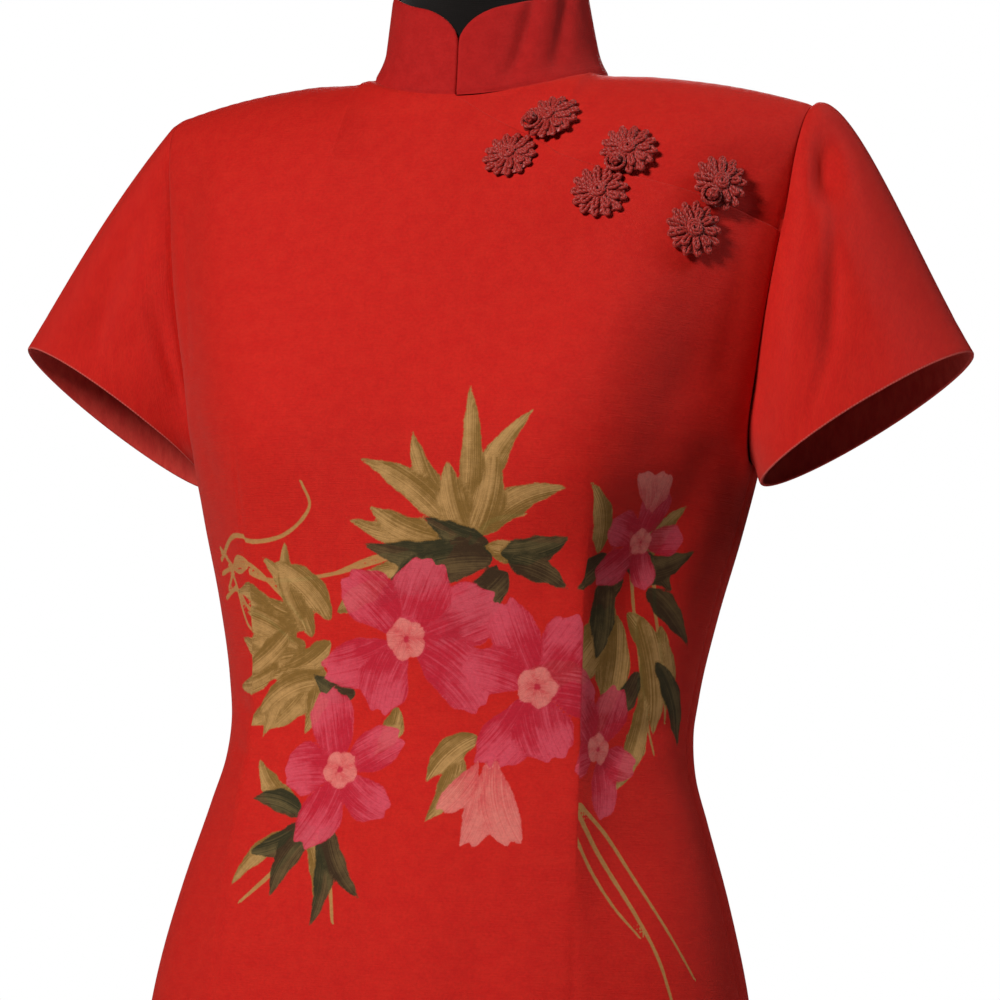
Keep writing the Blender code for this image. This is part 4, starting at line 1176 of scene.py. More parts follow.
# %% Small relief of a panel
DART_LINES = {-1: (0.80, 0.06, 1.165, 0.03), 1: (0.86, 0.04, 1.15, 0.04)}  # where a dart shows, by side
DART_DIPS = {-1: 0.55, 1: 0.6}  # share of a seam's dip along it
DART_PEAK, DART_PEAK_WIDTH = 0.0024, 0.014
HEM_TURN, HEM_STITCH_DEPTH, HEM_STITCH_WIDTH = 0.035, 0.00018, 0.0016


def stitch_row(distance, along, depth, width):
    """The shallow row of stitches that holds a turned edge."""
    return -depth * np.exp(-((distance / width) ** 2)) * (0.6 + 0.4 * np.sin(along))


def panel_relief(share, rise, side, base, to_side, to_dart):
    """Small folds, dips at the seams and along the darts, and puckers: metres out of the smooth panel."""
    x, z = base[..., 0], base[..., 2]
    relief = folds(SMALL_FRONT_FOLDS if side < 0 else SMALL_BACK_FOLDS, x, z) * ease(to_side / 0.02)
    relief = relief + ((z > SLIT_TOP_Z) | (rise > 0)) * seam_dip(to_side, z)
    line = band(z, *DART_LINES[side])
    relief = relief + DART_DIPS[side] * line * seam_dip(to_dart, z)
    if side < 0:
        peak = DART_PEAK * np.exp(-to_dart / DART_PEAK_WIDTH) * (1 - ease(abs(z - 1.02) / 0.18))
        relief = relief + side_hollow(share, z) + peak * line
    return relief + stitch_row(z - HEM_Z - HEM_TURN, x * 900, HEM_STITCH_DEPTH, HEM_STITCH_WIDTH)


print("the long darts stand up by", DART_PEAK * 1000, "mm more")

# %% A smooth slope below the neckline
SMOOTH_REACH, SMOOTH_MOST = 0.045, 0.003


def smooth_at_neck(base, normal, rounds=60):
    """Takes the ridge out of the cloth that runs down from the neckline's side points."""
    level = base
    for _ in range(rounds):
        level = level.copy()
        level[1:-1, 1:-1] = (level[2:, 1:-1] + level[:-2, 1:-1] + level[1:-1, 2:] + level[1:-1, :-2]) / 4
    away = np.linalg.norm((abs(base) - (NECK_HALF_WIDTH, 0, SHOULDER_NECK_Z)), axis=-1)
    lift = ((level - base) * normal).sum(-1) * (1 - ease(away / SMOOTH_REACH))
    return base + normal * np.clip(lift, -SMOOTH_MOST, SMOOTH_MOST)[..., None]


print("the cloth is smoothed within", SMOOTH_REACH * 1000, "mm of the neck's side points")

# %% Cloth of a panel
def panel_cloth(name, shares, rises, side, face, step, rolled_top=0.0, inset=0.0, dart_share=DART_SHARE):
    """rolled_top is 1 where the top edge is turned and free, 0 where it is sewn."""
    shares = np.broadcast_to(shares, rises.shape)
    base, normal = panel_point(shares, rises, side), outward(shares, rises, side)
    base = smooth_at_neck(base, normal)
    for hand, column in ((-1, 0), (1, -1)):
        to_armhole = np.linalg.norm(base - base[:, [column]], axis=-1)
        sink = np.where(np.sign(shares) == hand, armhole_valley(hand, side, rises, to_armhole), 0)
        base = base + normal[:, [column]] * sink[..., None]
    across = arc_lengths(base, 1)
    across = across - across[:, [int(np.argmin(abs(shares[0])))]]
    to_side = np.where(shares >= 0, across[:, [-1]] - across, across - across[:, [0]])
    darts = [across[:, [int(np.argmin(abs(shares[0] - at)))]] for at in (-dart_share, dart_share)]
    to_dart = np.minimum(*(abs(across - at) for at in darts))
    relief = panel_relief(shares, rises, side, base, to_side, to_dart)
    top = rises[-1]
    height = top_z(abs(shares[-1]), side) - UNDERARM_Z
    to_top = np.where(rises > 0, (top - rises) * height, top * height - rises)
    relief = relief + (1 - rolled_top) * seam_dip(to_top, base[..., 0]) * (rises > 0)
    free_side = np.where(base[..., 2] < SLIT_TOP_Z, to_side, 1.0)
    swell = edge_swell(np.minimum(base[..., 2] - HEM_Z, free_side)) * mix(1.0, edge_swell(to_top), rolled_top)
    middle = base + normal * (relief + CLOTH / 2 - inset)[..., None]
    half = normal * (CLOTH / 2 * swell)[..., None]
    weave = np.stack((across, base[..., 2]), -1)
    return cloth_piece(name, middle + half, middle - half, weave, (face, lining_with_painted_light), step), weave


print("a panel is", CLOTH * 1000, "mm thick")

# %% Lines of the front
front_columns = column_lines(62, 74, 3)
front_rows = row_lines(((0.66, 16), (0.86, 16), (UNDERARM_Z, 184)), ((0.36, 32), (BELOW_TOP, 34)), 3)
front_rises = front_rows[:, None] + 0 * front_columns
front_rises = np.where(front_rises > 0, front_rises * opening_rise(front_columns), front_rises)
free_top = np.where(front_columns > 0.012, 1.0, 0.0)
print("the front's grid:", len(front_columns), "columns,", len(front_rows), "rows")

# %% The front, with the spray laid on it
front_panel, flat = panel_cloth("front_panel", front_columns, front_rises, -1, printed_crepe, 3, free_top)
DART_INTAKE = 0.014  # cloth that each long dart takes away at the waist
taken = DART_INTAKE * band(flat[..., 1], 0.80, 0.16, 1.09, 0.085)
beyond = np.sign(front_columns) * (abs(front_columns) > DART_SHARE + 0.001)
spray_place = np.stack((flat[..., 0] + taken * beyond, flat[..., 1] - WAIST_Z), -1) * 1000
keep_fields(front_panel.data, spray_fields(spray_place))
spray_box = spray_place.min((0, 1)), spray_place.max((0, 1))
print("the print's ground, across and up:", short(spray_box, 0), "mm")

# %% The back
BACK_DART_SHARE = 0.45
back_columns = column_lines(36, 44, 3)
back_rows = row_lines(((0.66, 24), (0.95, 34), (UNDERARM_Z, 60)), ((BELOW_TOP, 54),), 3)
back_rises = back_rows[:, None] + 0 * back_columns
back_panel, _ = panel_cloth(
    "back_panel", back_columns, back_rises, 1, plain_crepe, 3, dart_share=BACK_DART_SHARE
)
print("the back's grid:", len(back_columns), "columns,", len(back_rows), "rows")

# %% The flap under the opening
flap_columns = front_columns[front_columns > -0.001][::2]
flap_columns = np.append(flap_columns, 1.0) if flap_columns[-1] < 1 else flap_columns
flap_share = np.concatenate((np.linspace(0, 0.97, 44), 1 - np.array(TOP_LINES[3::-1])))[:, None]
flap_rises = mix(opening_rise(flap_columns) - FLAP_UNDER, 1.0, flap_share)
flap_back = flap_inset(flap_columns, flap_rises)
flap_piece, _ = panel_cloth(
    "shoulder_flap_cloth", flap_columns, flap_rises, -1, plain_crepe, 1, inset=flap_back
)

# %% [markdown]
# ## Sleeves
# A short set-in sleeve is a tube that starts on the armhole and ends in an even cuff. It hangs from the
# shoulder and stands away from the body, so each has two soft hollows where it turns down. A bent
# cylinder would look stiff; here every line of the tube leaves the armhole in the direction of the
# shoulder and arrives square to the cuff.

# %% Cuffs and folds of the sleeves
Cuff = namedtuple("Cuff", "tip under half_depth back_drop leave settle")
CUFFS = {  # by hand; tip and under are the cuff's highest and lowest point, with x outward
    -1: Cuff((0.2877, -0.005, 1.2474), (0.177, 0.008, 1.180), 0.0477, 0.0187, (0.76, 0, -0.907), 0.813),
    1: Cuff((0.2926, 0.0017, 1.2523), (0.176, 0.002, 1.177), 0.0498, -0.0015, (0.324, 0, 0.21), 1.025),
}
UNDER_LEAVE = (0.92, 0, -0.38)  # the way in which the cloth leaves the armhole at the underarm
UNDER_ROOM = 1.15 * CLOTH  # and how far it stays off the side seam there
SleeveFold = namedtuple("SleeveFold", "angle down angle_width down_width slant height")
RIGHT_SLEEVE_ROWS = (
    (1.10, 0.25, 0.25, 0.22, 0.3, -0.0050), (1.35, 0.72, 0.22, 0.25, -0.2, -0.0040),
    (0.55, 0.35, 0.10, 0.25, 0.5, -0.0012), (1.75, 0.45, 0.12, 0.30, -0.3, -0.0014),
    (1.90, 0.18, 0.35, 0.09, 0.0, -0.0025), (1.35, 0.62, 0.16, 0.26, 0.8, -0.0024),
    (4.60, 0.40, 0.16, 0.30, 0.3, -0.0022), (5.30, 0.55, 0.14, 0.25, -0.4, -0.0018),
)
LEFT_SLEEVE_ROWS = (
    (0.75, 0.30, 0.20, 0.20, 0.5, -0.0050), (1.35, 0.60, 0.25, 0.28, -0.3, -0.0045),
    (0.80, 0.27, 0.30, 0.085, 0.0, -0.0060), (1.30, 0.58, 0.14, 0.22, 1.7, -0.0040),
    (1.80, 0.40, 0.12, 0.30, -0.4, -0.0010),
    (4.60, 0.45, 0.16, 0.30, 0.3, -0.0022), (5.40, 0.30, 0.14, 0.25, -0.4, -0.0018),
)
SLEEVE_ROWS = {-1: RIGHT_SLEEVE_ROWS, 1: LEFT_SLEEVE_ROWS}
SLEEVE_FOLDS = {hand: [SleeveFold(*row) for row in rows] for hand, rows in SLEEVE_ROWS.items()}
print("folds of the right and the left sleeve:", len(SLEEVE_FOLDS[-1]), len(SLEEVE_FOLDS[1]))

# %% A point of a sleeve
def sleeve_point(hand, angle, down):
    """A point on the inside of a sleeve: angle round from the top by way of the front, share down."""
    cuff = CUFFS[hand]
    upper, front = np.cos(angle), np.sin(angle)
    start_z = (SHOULDER_TIP_Z + UNDERARM_Z) / 2 + (SHOULDER_TIP_Z - UNDERARM_Z) / 2 * upper
    off_seam = UNDER_ROOM * np.clip((-upper - 0.78) / 0.15, 0, 1)
    start = np.stack((edge_x(start_z) + SEAM + off_seam, -ARMHOLE_HALF_DEPTH * front, start_z), -1)
    tip, under = np.array(cuff.tip), np.array(cuff.under)
    long_axis, drop = (tip - under) / 2, cuff.back_drop * front
    end = (tip + under) / 2 + upper[..., None] * long_axis
    end = end + np.stack((0 * drop, -cuff.half_depth * front, drop), -1)
    arrive = unit(np.cross(long_axis, (0, 1, 0)))
    arrive = arrive * np.copysign(cuff.settle, -arrive[2])
    leave = mix(np.array(UNDER_LEAVE), np.array(cuff.leave), (1 + upper[..., None]) / 2)
    length = np.linalg.norm(end - start, axis=-1, keepdims=True)
    t = np.asarray(down, float)[..., None]
    return curve(t, start, length * leave, end, length * arrive) * (hand, 1, 1)


def sleeve_fold(table, angle, down):
    total = 0.0
    for fold in table:
        down_by = (down - fold.down) / fold.down_width
        around = (angle - fold.angle - fold.slant * (down - fold.down)) / fold.angle_width
        total = total + fold.height * np.exp(-around * around - down_by * down_by)
    return total


def sleeve_normal(hand, angle, down):
    around = sleeve_point(hand, angle + 0.01, down) - sleeve_point(hand, angle - 0.01, down)
    further, nearer = np.minimum(down + 0.01, 1), np.maximum(down - 0.01, 0)
    along = sleeve_point(hand, angle, further) - sleeve_point(hand, angle, nearer)
    normal = np.cross(around, along) * hand
    normal[..., 0] = np.where(down <= 0, 0, normal[..., 0])
    return unit(normal)


cuff_ends = [sleeve_point(1, np.array(angle), 1.0) for angle in (0.0, math.pi)]
print("the left cuff is", short(np.linalg.norm(cuff_ends[0] - cuff_ends[1])), "m high")

# %% Cloth of the sleeves
SLEEVE_COLUMNS = 132
SLEEVE_HEM, SLEEVE_HEM_CLOTH = 0.022, 0.0007  # depth of the turned hem, and what it adds inside
sleeve_downs = np.concatenate(
    ((0, 0.006, 0.014, 0.026, 0.042), np.linspace(0.06, 0.955, 40), (0.968, 0.980, 0.989, 0.995, 1.0))
)


def sleeve_cloth(name, hand):
    down, angle = np.meshgrid(sleeve_downs, turns(SLEEVE_COLUMNS), indexing="ij")
    base, normal = sleeve_point(hand, angle, down), sleeve_normal(hand, angle, down)
    length = arc_lengths(base, 0)
    to_cuff = length[-1] - length
    for side in (-1, 1):
        sink = armhole_valley(hand, side, (1 + np.cos(angle)) / 2, length * 1.8)
        sink = np.where(np.sign(np.sin(angle)) == -side, sink, 0)
        base = base + normal[[0]] * sink[..., None]
    relief = sleeve_fold(SLEEVE_FOLDS[hand], angle, down) + seam_dip(length, angle * 0.07)
    relief = relief + stitch_row(to_cuff - SLEEVE_HEM, angle * 60, 0.0002, 0.0015)
    swell = edge_swell(to_cuff)
    middle = relief + CLOTH / 2
    inner = middle - swell * (CLOTH / 2 + SLEEVE_HEM_CLOTH * ease((SLEEVE_HEM - to_cuff) / 0.001))
    outside = base + normal * (middle + swell * CLOTH / 2)[..., None]
    weave = np.stack((angle * 0.075, length), -1)
    inside = base + normal * inner[..., None]
    obj = cloth_piece(name, outside, inside, weave, (sleeve_crepe, lining_with_painted_light), closed=True)
    distances = np.concatenate((to_cuff.ravel(), np.full(to_cuff.size, 0.01))).astype(np.float32)
    obj.data.attributes.new("to_edge", "FLOAT", "POINT").data.foreach_set("value", distances)
    return obj


sleeve_right_cloth = sleeve_cloth("sleeve_right_cloth", -1)
sleeve_left_cloth = sleeve_cloth("sleeve_left_cloth", 1)

# %% [markdown]
# ## The collar
# The stand collar is a stiffened double band. It leans in towards the neck, its two front ends meet
# at the throat and their corners are rounded off, which leaves a small notch. On the wearer's left the
# band buckles a little where it bends most, in two soft slanting creases. It could be a bent strip with
# a solidify modifier, but its edge is rounded and its height changes, so it has its own grid.

# %% Shape of the collar
COLLAR_HEIGHT, COLLAR_FRONT_HEIGHT, COLLAR_CORNER = 0.052, 0.031, 0.030
COLLAR_LEAN, COLLAR_TILT = 0.145, -0.0035
COLLAR_CREASES = (  # turn, width and height of each
    (0.62, 0.10, -0.0030), (1.05, 0.11, -0.0032), (-1.30, 0.14, -0.0010),
    (2.2, 0.16, -0.0010), (-2.3, 0.16, -0.0010),
)
COLLAR_SLANT = 0.34  # how far a crease slants, in turn, from the collar's foot to its top


def collar_point(turn, up, inset):
    """turn runs from -half a turn to half a turn about the front, up from 0 on the neckline to 1."""
    front, back = neck_point(abs(turn), -1), neck_point(math.pi - abs(turn), 1)
    ring = np.where((np.cos(turn) > 0)[..., None], front, back)
    ring = ring * np.stack((np.sign(turn), np.ones_like(turn), np.ones_like(turn)), -1)
    arc = abs(turn) * (NECK_HALF_WIDTH + NECK_FRONT) / 2
    corner = np.clip(1 - arc / COLLAR_CORNER, 0, 1)
    height = COLLAR_HEIGHT - (COLLAR_HEIGHT - COLLAR_FRONT_HEIGHT) * (1 - np.sqrt(1 - corner**2))
    risen = up * height / COLLAR_HEIGHT
    narrow = (1 - COLLAR_LEAN * risen**0.75)[..., None]
    flat = ring[..., :2] * narrow - unit(ring[..., :2]) * np.reshape(inset, (*np.shape(inset), 1))
    flat = flat + risen[..., None] * (COLLAR_TILT, 0)
    return np.concatenate((flat, (ring[..., 2] + SEAM + up * height)[..., None]), -1)


def collar_crease(turn, up):
    total = 0.0
    for at, width, height in COLLAR_CREASES:
        across = (turn - at - COLLAR_SLANT * np.sign(at) * (up - 0.5)) / width
        total = total + height * np.exp(-across * across) * ease(up / 0.35)
    return total


print("the collar's top behind:", short(collar_point(np.array(math.pi), np.array(1.0), 0.0)))

# %% Lines of the collar's grid
COLLAR_END = SEAM / 2 / NECK_FRONT  # keeps the two front ends apart
near_end = COLLAR_END + np.array((0, 0.0006, 0.0014, 0.0030, 0.0055)) / NECK_FRONT
corner_turn = COLLAR_CORNER / NECK_FRONT
corner = np.linspace(near_end[-1], corner_turn, 26)[1:-1]
half_turn = np.concatenate((near_end, corner, np.linspace(corner_turn, math.pi, 78)))
collar_turns = np.concatenate((half_turn, -half_turn[-2::-1]))
collar_ups = np.concatenate(
    ((0, 0.01, 0.025, 0.045, 0.075), np.linspace(0.11, 0.93, 18), (0.955, 0.975, 0.99, 1.0))
)
print("lines of the collar:", len(collar_turns), "round and", len(collar_ups), "up")

# %% Cloth of the collar
COLLAR_INSET = 3 * SEAM  # between the neckline and the collar's outside
COLLAR_PUFF, FOOT_TURN, ROLL = 0.0005, 0.0007, 0.004
FOOT_FLARE, FLARE_HEIGHT = 0.0030, 0.016  # its foot spreads on the shoulders


def collar_cloth(name):
    up, turn = np.meshgrid(collar_ups, collar_turns, indexing="ij")
    foot = collar_point(turn, 0 * up, COLLAR_INSET)
    rise = np.linalg.norm(collar_point(turn, up, COLLAR_INSET) - foot, axis=-1)
    full = np.linalg.norm(collar_point(turn, 0 * up + 1, COLLAR_INSET) - foot, axis=-1)
    to_end = (abs(turn) - COLLAR_END) * NECK_FRONT
    half = COLLAR_CLOTH / 2 * edge_swell(np.minimum(full - rise, to_end))
    puff = COLLAR_PUFF * ease(rise / ROLL) * ease((full - rise) / ROLL)
    flare = FOOT_FLARE * np.maximum(0, 1 - rise / FLARE_HEIGHT) ** 2 * ease((abs(turn) - 0.35) / 0.6)
    middle = COLLAR_INSET + COLLAR_CLOTH / 2 - collar_crease(turn, up) - flare
    outside = collar_point(turn, up, middle - half - puff + FOOT_TURN * (1 - ease(rise / 0.003)))
    inside = collar_point(turn, up, middle + half)
    return cloth_piece(name, outside, inside, np.stack((turn * 0.066, rise), -1), (collar_crepe, lining_with_painted_light))


collar_band = collar_cloth("collar_band")

# %% [markdown]
# ## Frogs
# A frog is a Chinese button: two flowers of looped cord and a ball knot that holds one to the other.
# Each flower here is one cord laid in a ring of narrow loops, a second, smaller ring over it and a coil
# in the middle, sewn to a padded disc. A curve with a round bevel would draw the cord, but a swept
# tube made from points can follow the bust exactly and keeps its twist in its own flat coordinates.

# %% Tubes along a line
CORD_SIDES, CORD_RADIUS = 8, 0.00118


def cord_tube(line, up, radius, closed=True):
    """Points, faces and flat places of a tube; the line stays across the direction up."""
    ahead = np.roll(line, -1, 0) - np.roll(line, 1, 0)
    if not closed:
        ahead[0], ahead[-1] = line[1] - line[0], line[-1] - line[-2]
    side = unit(np.cross(unit(ahead), up))
    rise = np.cross(side, unit(ahead))
    turn = turns(CORD_SIDES)
    ring = np.cos(turn)[None, :, None] * side[:, None] + np.sin(turn)[None, :, None] * rise[:, None]
    points = (line[:, None] + ring * radius).reshape(-1, 3)
    length = np.concatenate(([0], np.cumsum(np.linalg.norm(np.diff(line, axis=0), axis=1))))
    weave = np.stack(np.broadcast_arrays(turn * CORD_RADIUS, length[:, None]), -1).reshape(-1, 2)
    at = numbered(len(line), CORD_SIDES)
    faces = quads(np.concatenate((at, at[:1])), around=True) if closed else tube_faces(*at.shape)
    return points, faces, weave


def join_parts(name, parts):
    """One piece from several (points, faces, flat places)."""
    faces, start = [], 0
    for points, part_faces, _ in parts:
        faces += [tuple(i + start for i in face) for face in part_faces]
        start += len(points)
    obj = new_piece(name, np.concatenate([part[0] for part in parts]), faces, [frog_cord], 70)
    keep_weave(obj.data, np.concatenate([part[2] for part in parts]))
    print(f"{name}: {len(parts)} parts, {len(obj.data.vertices)} vertices")
    return obj


print("the cord is", short(CORD_RADIUS * 2000, 2), "mm thick")

# %% Where the frogs are sewn on
Frog = namedtuple("Frog", "upper_x upper_z knot_x knot_z knot_sink lower_x lower_z")
FROGS = (
    Frog(0.0596, 1.3795, 0.0507, 1.3725, 0.0000, 0.0418, 1.3526),
    Frog(0.1116, 1.3588, 0.1035, 1.3470, 0.0008, 0.0966, 1.3302),
    Frog(0.1610, 1.3408, 0.1535, 1.3310, 0.0002, 0.1472, 1.3112),
)
UPPER_SAGS = ((0.0010, -0.0030), (-0.0025, -0.0030), (-0.0025, -0.0015))  # the upper flowers sag a little
FLOWER_GAP = 0.0007


def cloth_top(share, rise):
    """Where a flower's underside lies: over the front, or over the flap where the front is cut away."""
    past_edge = (rise - opening_rise(share) - 0.02) / 0.05
    return mix(CLOTH, CLOTH - flap_inset(share, rise), ease(past_edge)) + FLOWER_GAP


class Mount:
    """The small flat frame on the cloth that a flower or a knot is sewn to."""

    def __init__(self, x, z):
        share, rise = panel_at(np.array([x]), np.array([z]), -1)
        self.centre, self.normal = panel_point(share, rise, -1)[0], outward(share, rise, -1)[0]
        self.across, self.along = level_axes(self.normal)

    def ring(self, radius, turn):
        return self.centre + np.reshape(radius, (-1, 1)) * circle(turn, self.across, self.along)

    def place(self, radius, turn, lift=None):
        """Points at a height over the front's cloth, or on whatever cloth is there if no lift is given."""
        target = self.ring(radius, turn)
        found = panel_at(target[:, 0], target[:, 2], -1)
        height = cloth_top(*found) if lift is None else CLOTH + FLOWER_GAP + lift
        return panel_point(*found, -1) + outward(*found, -1) * np.reshape(height, (-1, 1))


print("the first knot lies at", short(Mount(FROGS[0].knot_x, FROGS[0].knot_z).centre))

# %% Measures of a flower
FLOWER_RADIUS = 0.0158
LoopRing = namedtuple("LoopRing", "count inner outer low high shift")
LOOP_RINGS = (
    LoopRing(13, 0.0062, FLOWER_RADIUS + 0.0006 - CORD_RADIUS, 0.0018, 0.0019, 0.0),
    LoopRing(9, 0.0036, 0.0112, 0.0032, 0.0034, 0.2),
)
LOOP_STEPS, LOOP_WIDTH = 16, 0.31
COIL_RADIUS, COIL_TURNS, COIL_LIFT, COIL_RISE = 0.0044, 2.2, 0.0042, 0.0008
DISC_SIDES = 28
DISC_RINGS = (  # radius and height of the padded disc's rings, the first one on the cloth itself
    (0.0128, None), (0.0140, 0.0008), (0.0134, 0.0014), (0.0090, 0.0022), (0.0045, 0.0030), (0.0015, 0.0032),
)
print("loops in a flower:", " and ".join(str(ring.count) for ring in LOOP_RINGS))

# %% A flower
def loops(mount, ring, start):
    """One cord in a ring of narrow loops."""
    t = np.arange(ring.count * LOOP_STEPS) / LOOP_STEPS
    phase = (t % 1) * math.pi
    out = np.sin(phase)
    step = 2 * math.pi / ring.count
    turn = start + ring.shift + (np.floor(t) + 0.5) * step
    turn = turn - step * LOOP_WIDTH * np.cos(phase) * (0.45 + 0.55 * out)
    radius = ring.inner + (ring.outer - ring.inner) * out**0.8 * (1 + 0.03 * np.sin(np.floor(t) * 2.1))
    return cord_tube(mount.place(radius, turn, mix(ring.low, ring.high, out)), mount.normal, CORD_RADIUS)


def padded_disc(mount):
    """The disc under the loops, a low closed dome on the cloth."""
    turn = turns(DISC_SIDES)
    points = np.concatenate([mount.place(radius, turn, lift) for radius, lift in DISC_RINGS])
    weave = np.stack(np.meshgrid(turn * 0.01, [radius for radius, _ in DISC_RINGS]), -1).reshape(-1, 2)
    return points, tube_faces(len(DISC_RINGS), DISC_SIDES), weave


def frog_flower(name, x, z, start):
    mount = Mount(x, z)
    t = np.linspace(0, 1, 60)
    coil = mount.place(
        COIL_RADIUS * (1 - 0.84 * t), start + t * COIL_TURNS * 2 * math.pi, COIL_LIFT + COIL_RISE * np.sqrt(t)
    )
    parts = [loops(mount, ring, start) for ring in LOOP_RINGS]
    parts.append(cord_tube(coil, mount.normal, CORD_RADIUS * 1.05, closed=False))
    return join_parts(name, [*parts, padded_disc(mount)])


print("points of an outer ring's cord:", LOOP_RINGS[0].count * LOOP_STEPS)

# %% A ball knot
KNOT_RADIUS, KNOT_CORD, KNOT_WAVES, KNOT_PASSES = 0.0038, CORD_RADIUS * 0.85, 4, 3
KNOT_LIFT = CLOTH + FLOWER_GAP + 0.0033 + KNOT_RADIUS  # on the flower's edge
KNOT_LOOP_RADIUS, KNOT_LOOP_SINK = 0.0052, 0.0022
HEART_RADIUS, HEART_SIDES = 0.0026, 12
HEART_TILTS = np.linspace(-0.45, 0.45, 7) * math.pi


def frog_knot(name, frog):
    """One cord that passes three times round a ball in four waves, over a solid heart, in its loop."""
    mount = Mount(frog.knot_x, frog.knot_z)
    mount.centre = mount.centre + mount.normal * (KNOT_LIFT - frog.knot_sink)
    t = turns(150)
    tilt = 0.95 * np.cos(KNOT_WAVES * t)[:, None]
    way = np.cos(tilt) * circle(KNOT_PASSES * t, mount.across, mount.along) + np.sin(tilt) * mount.normal
    radius = KNOT_RADIUS - CORD_RADIUS + 0.00025 * np.sin(2 * KNOT_WAVES * t)[:, None]
    loop = mount.ring(KNOT_LOOP_RADIUS, turns(40)) - mount.normal * KNOT_LOOP_SINK
    heart = np.concatenate([
        mount.ring(HEART_RADIUS * math.cos(tilt), turns(HEART_SIDES))
        + HEART_RADIUS * math.sin(tilt) * mount.normal
        for tilt in HEART_TILTS
    ])
    return join_parts(name, [
        cord_tube(mount.centre + way * radius, way, KNOT_CORD),
        cord_tube(loop, mount.normal, KNOT_CORD),
        (heart, tube_faces(len(HEART_TILTS), HEART_SIDES), 0 * heart[:, :2]),
    ])


print("a ball knot is", short((KNOT_RADIUS + KNOT_CORD - CORD_RADIUS) * 2000, 1), "mm across")

# %% Build the frogs
frog_pieces = []
for number, (frog, sag) in enumerate(zip(FROGS, UPPER_SAGS), 1):
    name = f"frog_{number}"
    upper_x, upper_z = np.add((frog.upper_x, frog.upper_z), sag)
    upper = frog_flower(f"{name}_upper_flower", upper_x, upper_z, 0.1 * number)
    lower = frog_flower(f"{name}_lower_flower", frog.lower_x, frog.lower_z, 0.25 * number)
    knot = frog_knot(f"{name}_ball_knot", frog)
    frog_pieces += [(upper, f"{name}_upper"), (lower, f"{name}_lower"), (knot, f"{name}_knot")]

# %% [markdown]
# ## The dress form
# Under the dress stands a limbless form, a padded torso with a neck, covered in black jersey. It shows
# only in the collar's notch and from below, yet it carries the dress, so it is the whole torso: the
# same figure, a few millimetres smaller. The frame's own solid could stay, but its large flat faces
# would show at the neck, and jersey needs a fine, smooth ground.

# %% Rings of the form
FORM_BOTTOM_Z, FORM_NECK_TOP_Z, FORM_SHARE, FORM_UNDER = 0.740, 1.500, 0.985, 0.016
FORM_NECK_DROP, FORM_NECK_SCALE, FORM_NECK_FIT = 0.0030, 0.930, 0.985
FORM_GAP_LOW, FORM_GAP_HIGH = 0.0055, 0.0014  # between form and cloth, loose below and close at the shoulders
FORM_CLEAR = 0.0210  # room that the deep armhole seams need
FORM_HALF = 42  # columns from the middle to the side, three for each one of the frame's


def form_gap(share, rise, side):
    """How far the form lies inside the cloth: close at the shoulders, loose round waist and hip."""
    height = np.maximum(rise, 0)
    gap = mix(FORM_GAP_LOW, FORM_GAP_HIGH, ease((height - 0.6) / 0.4))
    under_collar = np.where(abs(share) < NECK_SHARE + 0.01, 0.0020, 0.0) * ease((height - 0.8) / 0.14)
    under_flap = (CLOTH + FLAP_GAP) * ease((share + 0.15) / 0.12) if side < 0 else 0.0
    return gap + under_flap + under_collar


def form_ring(rise):
    """Once round the form at one rise: the front from right to left, then the back from left to right."""
    columns = np.linspace(-1, 1, 2 * FORM_HALF + 1)
    rings = []
    for side, shares in ((-1, columns), (1, columns[::-1])):
        stop = np.clip(shares, -FORM_SHARE, FORM_SHARE)
        point = panel_point(stop, rise, side)
        if rise < 1:
            near_neck = np.linalg.norm(abs(point) - (NECK_HALF_WIDTH, 0, SHOULDER_NECK_Z), axis=-1)
            gap = form_gap(shares, rise, side) + 0.0018 * (1 - ease(near_neck / 0.06))
            gap = gap + FORM_CLEAR * ease((abs(shares) - 0.5) / 0.25) * ease((rise + 0.12) / 0.1)
            point = point - outward(stop, rise, side) * gap[..., None]
        else:
            on_shoulder, on_neck = abs(shares) > NECK_SHARE - 0.001, abs(shares) < NECK_SHARE + 0.001
            point[:, 2] -= np.where(on_neck, FORM_NECK_DROP, form_gap(shares, rise, -1))
            point[:, 0] *= np.where(on_neck, FORM_NECK_SCALE, 1)
            point[:, 1] *= np.where(on_shoulder, 0, FORM_NECK_SCALE)
        rings.append(point)
    return np.concatenate(rings)


print("the form's waist is", short(np.ptp(form_ring(WAIST_Z - UNDERARM_Z)[:, 0])), "m wide")

# %% Build the form
FORM_RISES = np.concatenate((
    np.linspace(FORM_BOTTOM_Z - UNDERARM_Z, 0, 40), np.linspace(0, 0.945, 30)[1:], (0.965, 0.982, 0.9935, 1.0)
))
FORM_ROUNDING = (  # size and drop of the underside's rings, as shares
    (0.20, 1.0), (0.55, 1.0), (0.80, 0.97), (0.90, 0.88), (0.955, 0.68), (0.98, 0.42), (0.993, 0.2),
)
FORM_NECK_SHARES = (0.03, 0.06, 0.12, 0.2, 0.28, 0.35, 0.45, 0.6, 0.7, 0.8, 0.9, 1.0)


def neck_ring(foot, share):
    """A ring of the neck, which leans in as the collar does."""
    risen = min(1.0, share / 0.6)
    narrow = FORM_NECK_FIT * (1 - COLLAR_LEAN * risen**0.75)
    z = mix(foot[:, 2], FORM_NECK_TOP_Z, share)
    return np.stack((foot[:, 0] * narrow + COLLAR_TILT * risen, foot[:, 1] * narrow, z), -1)


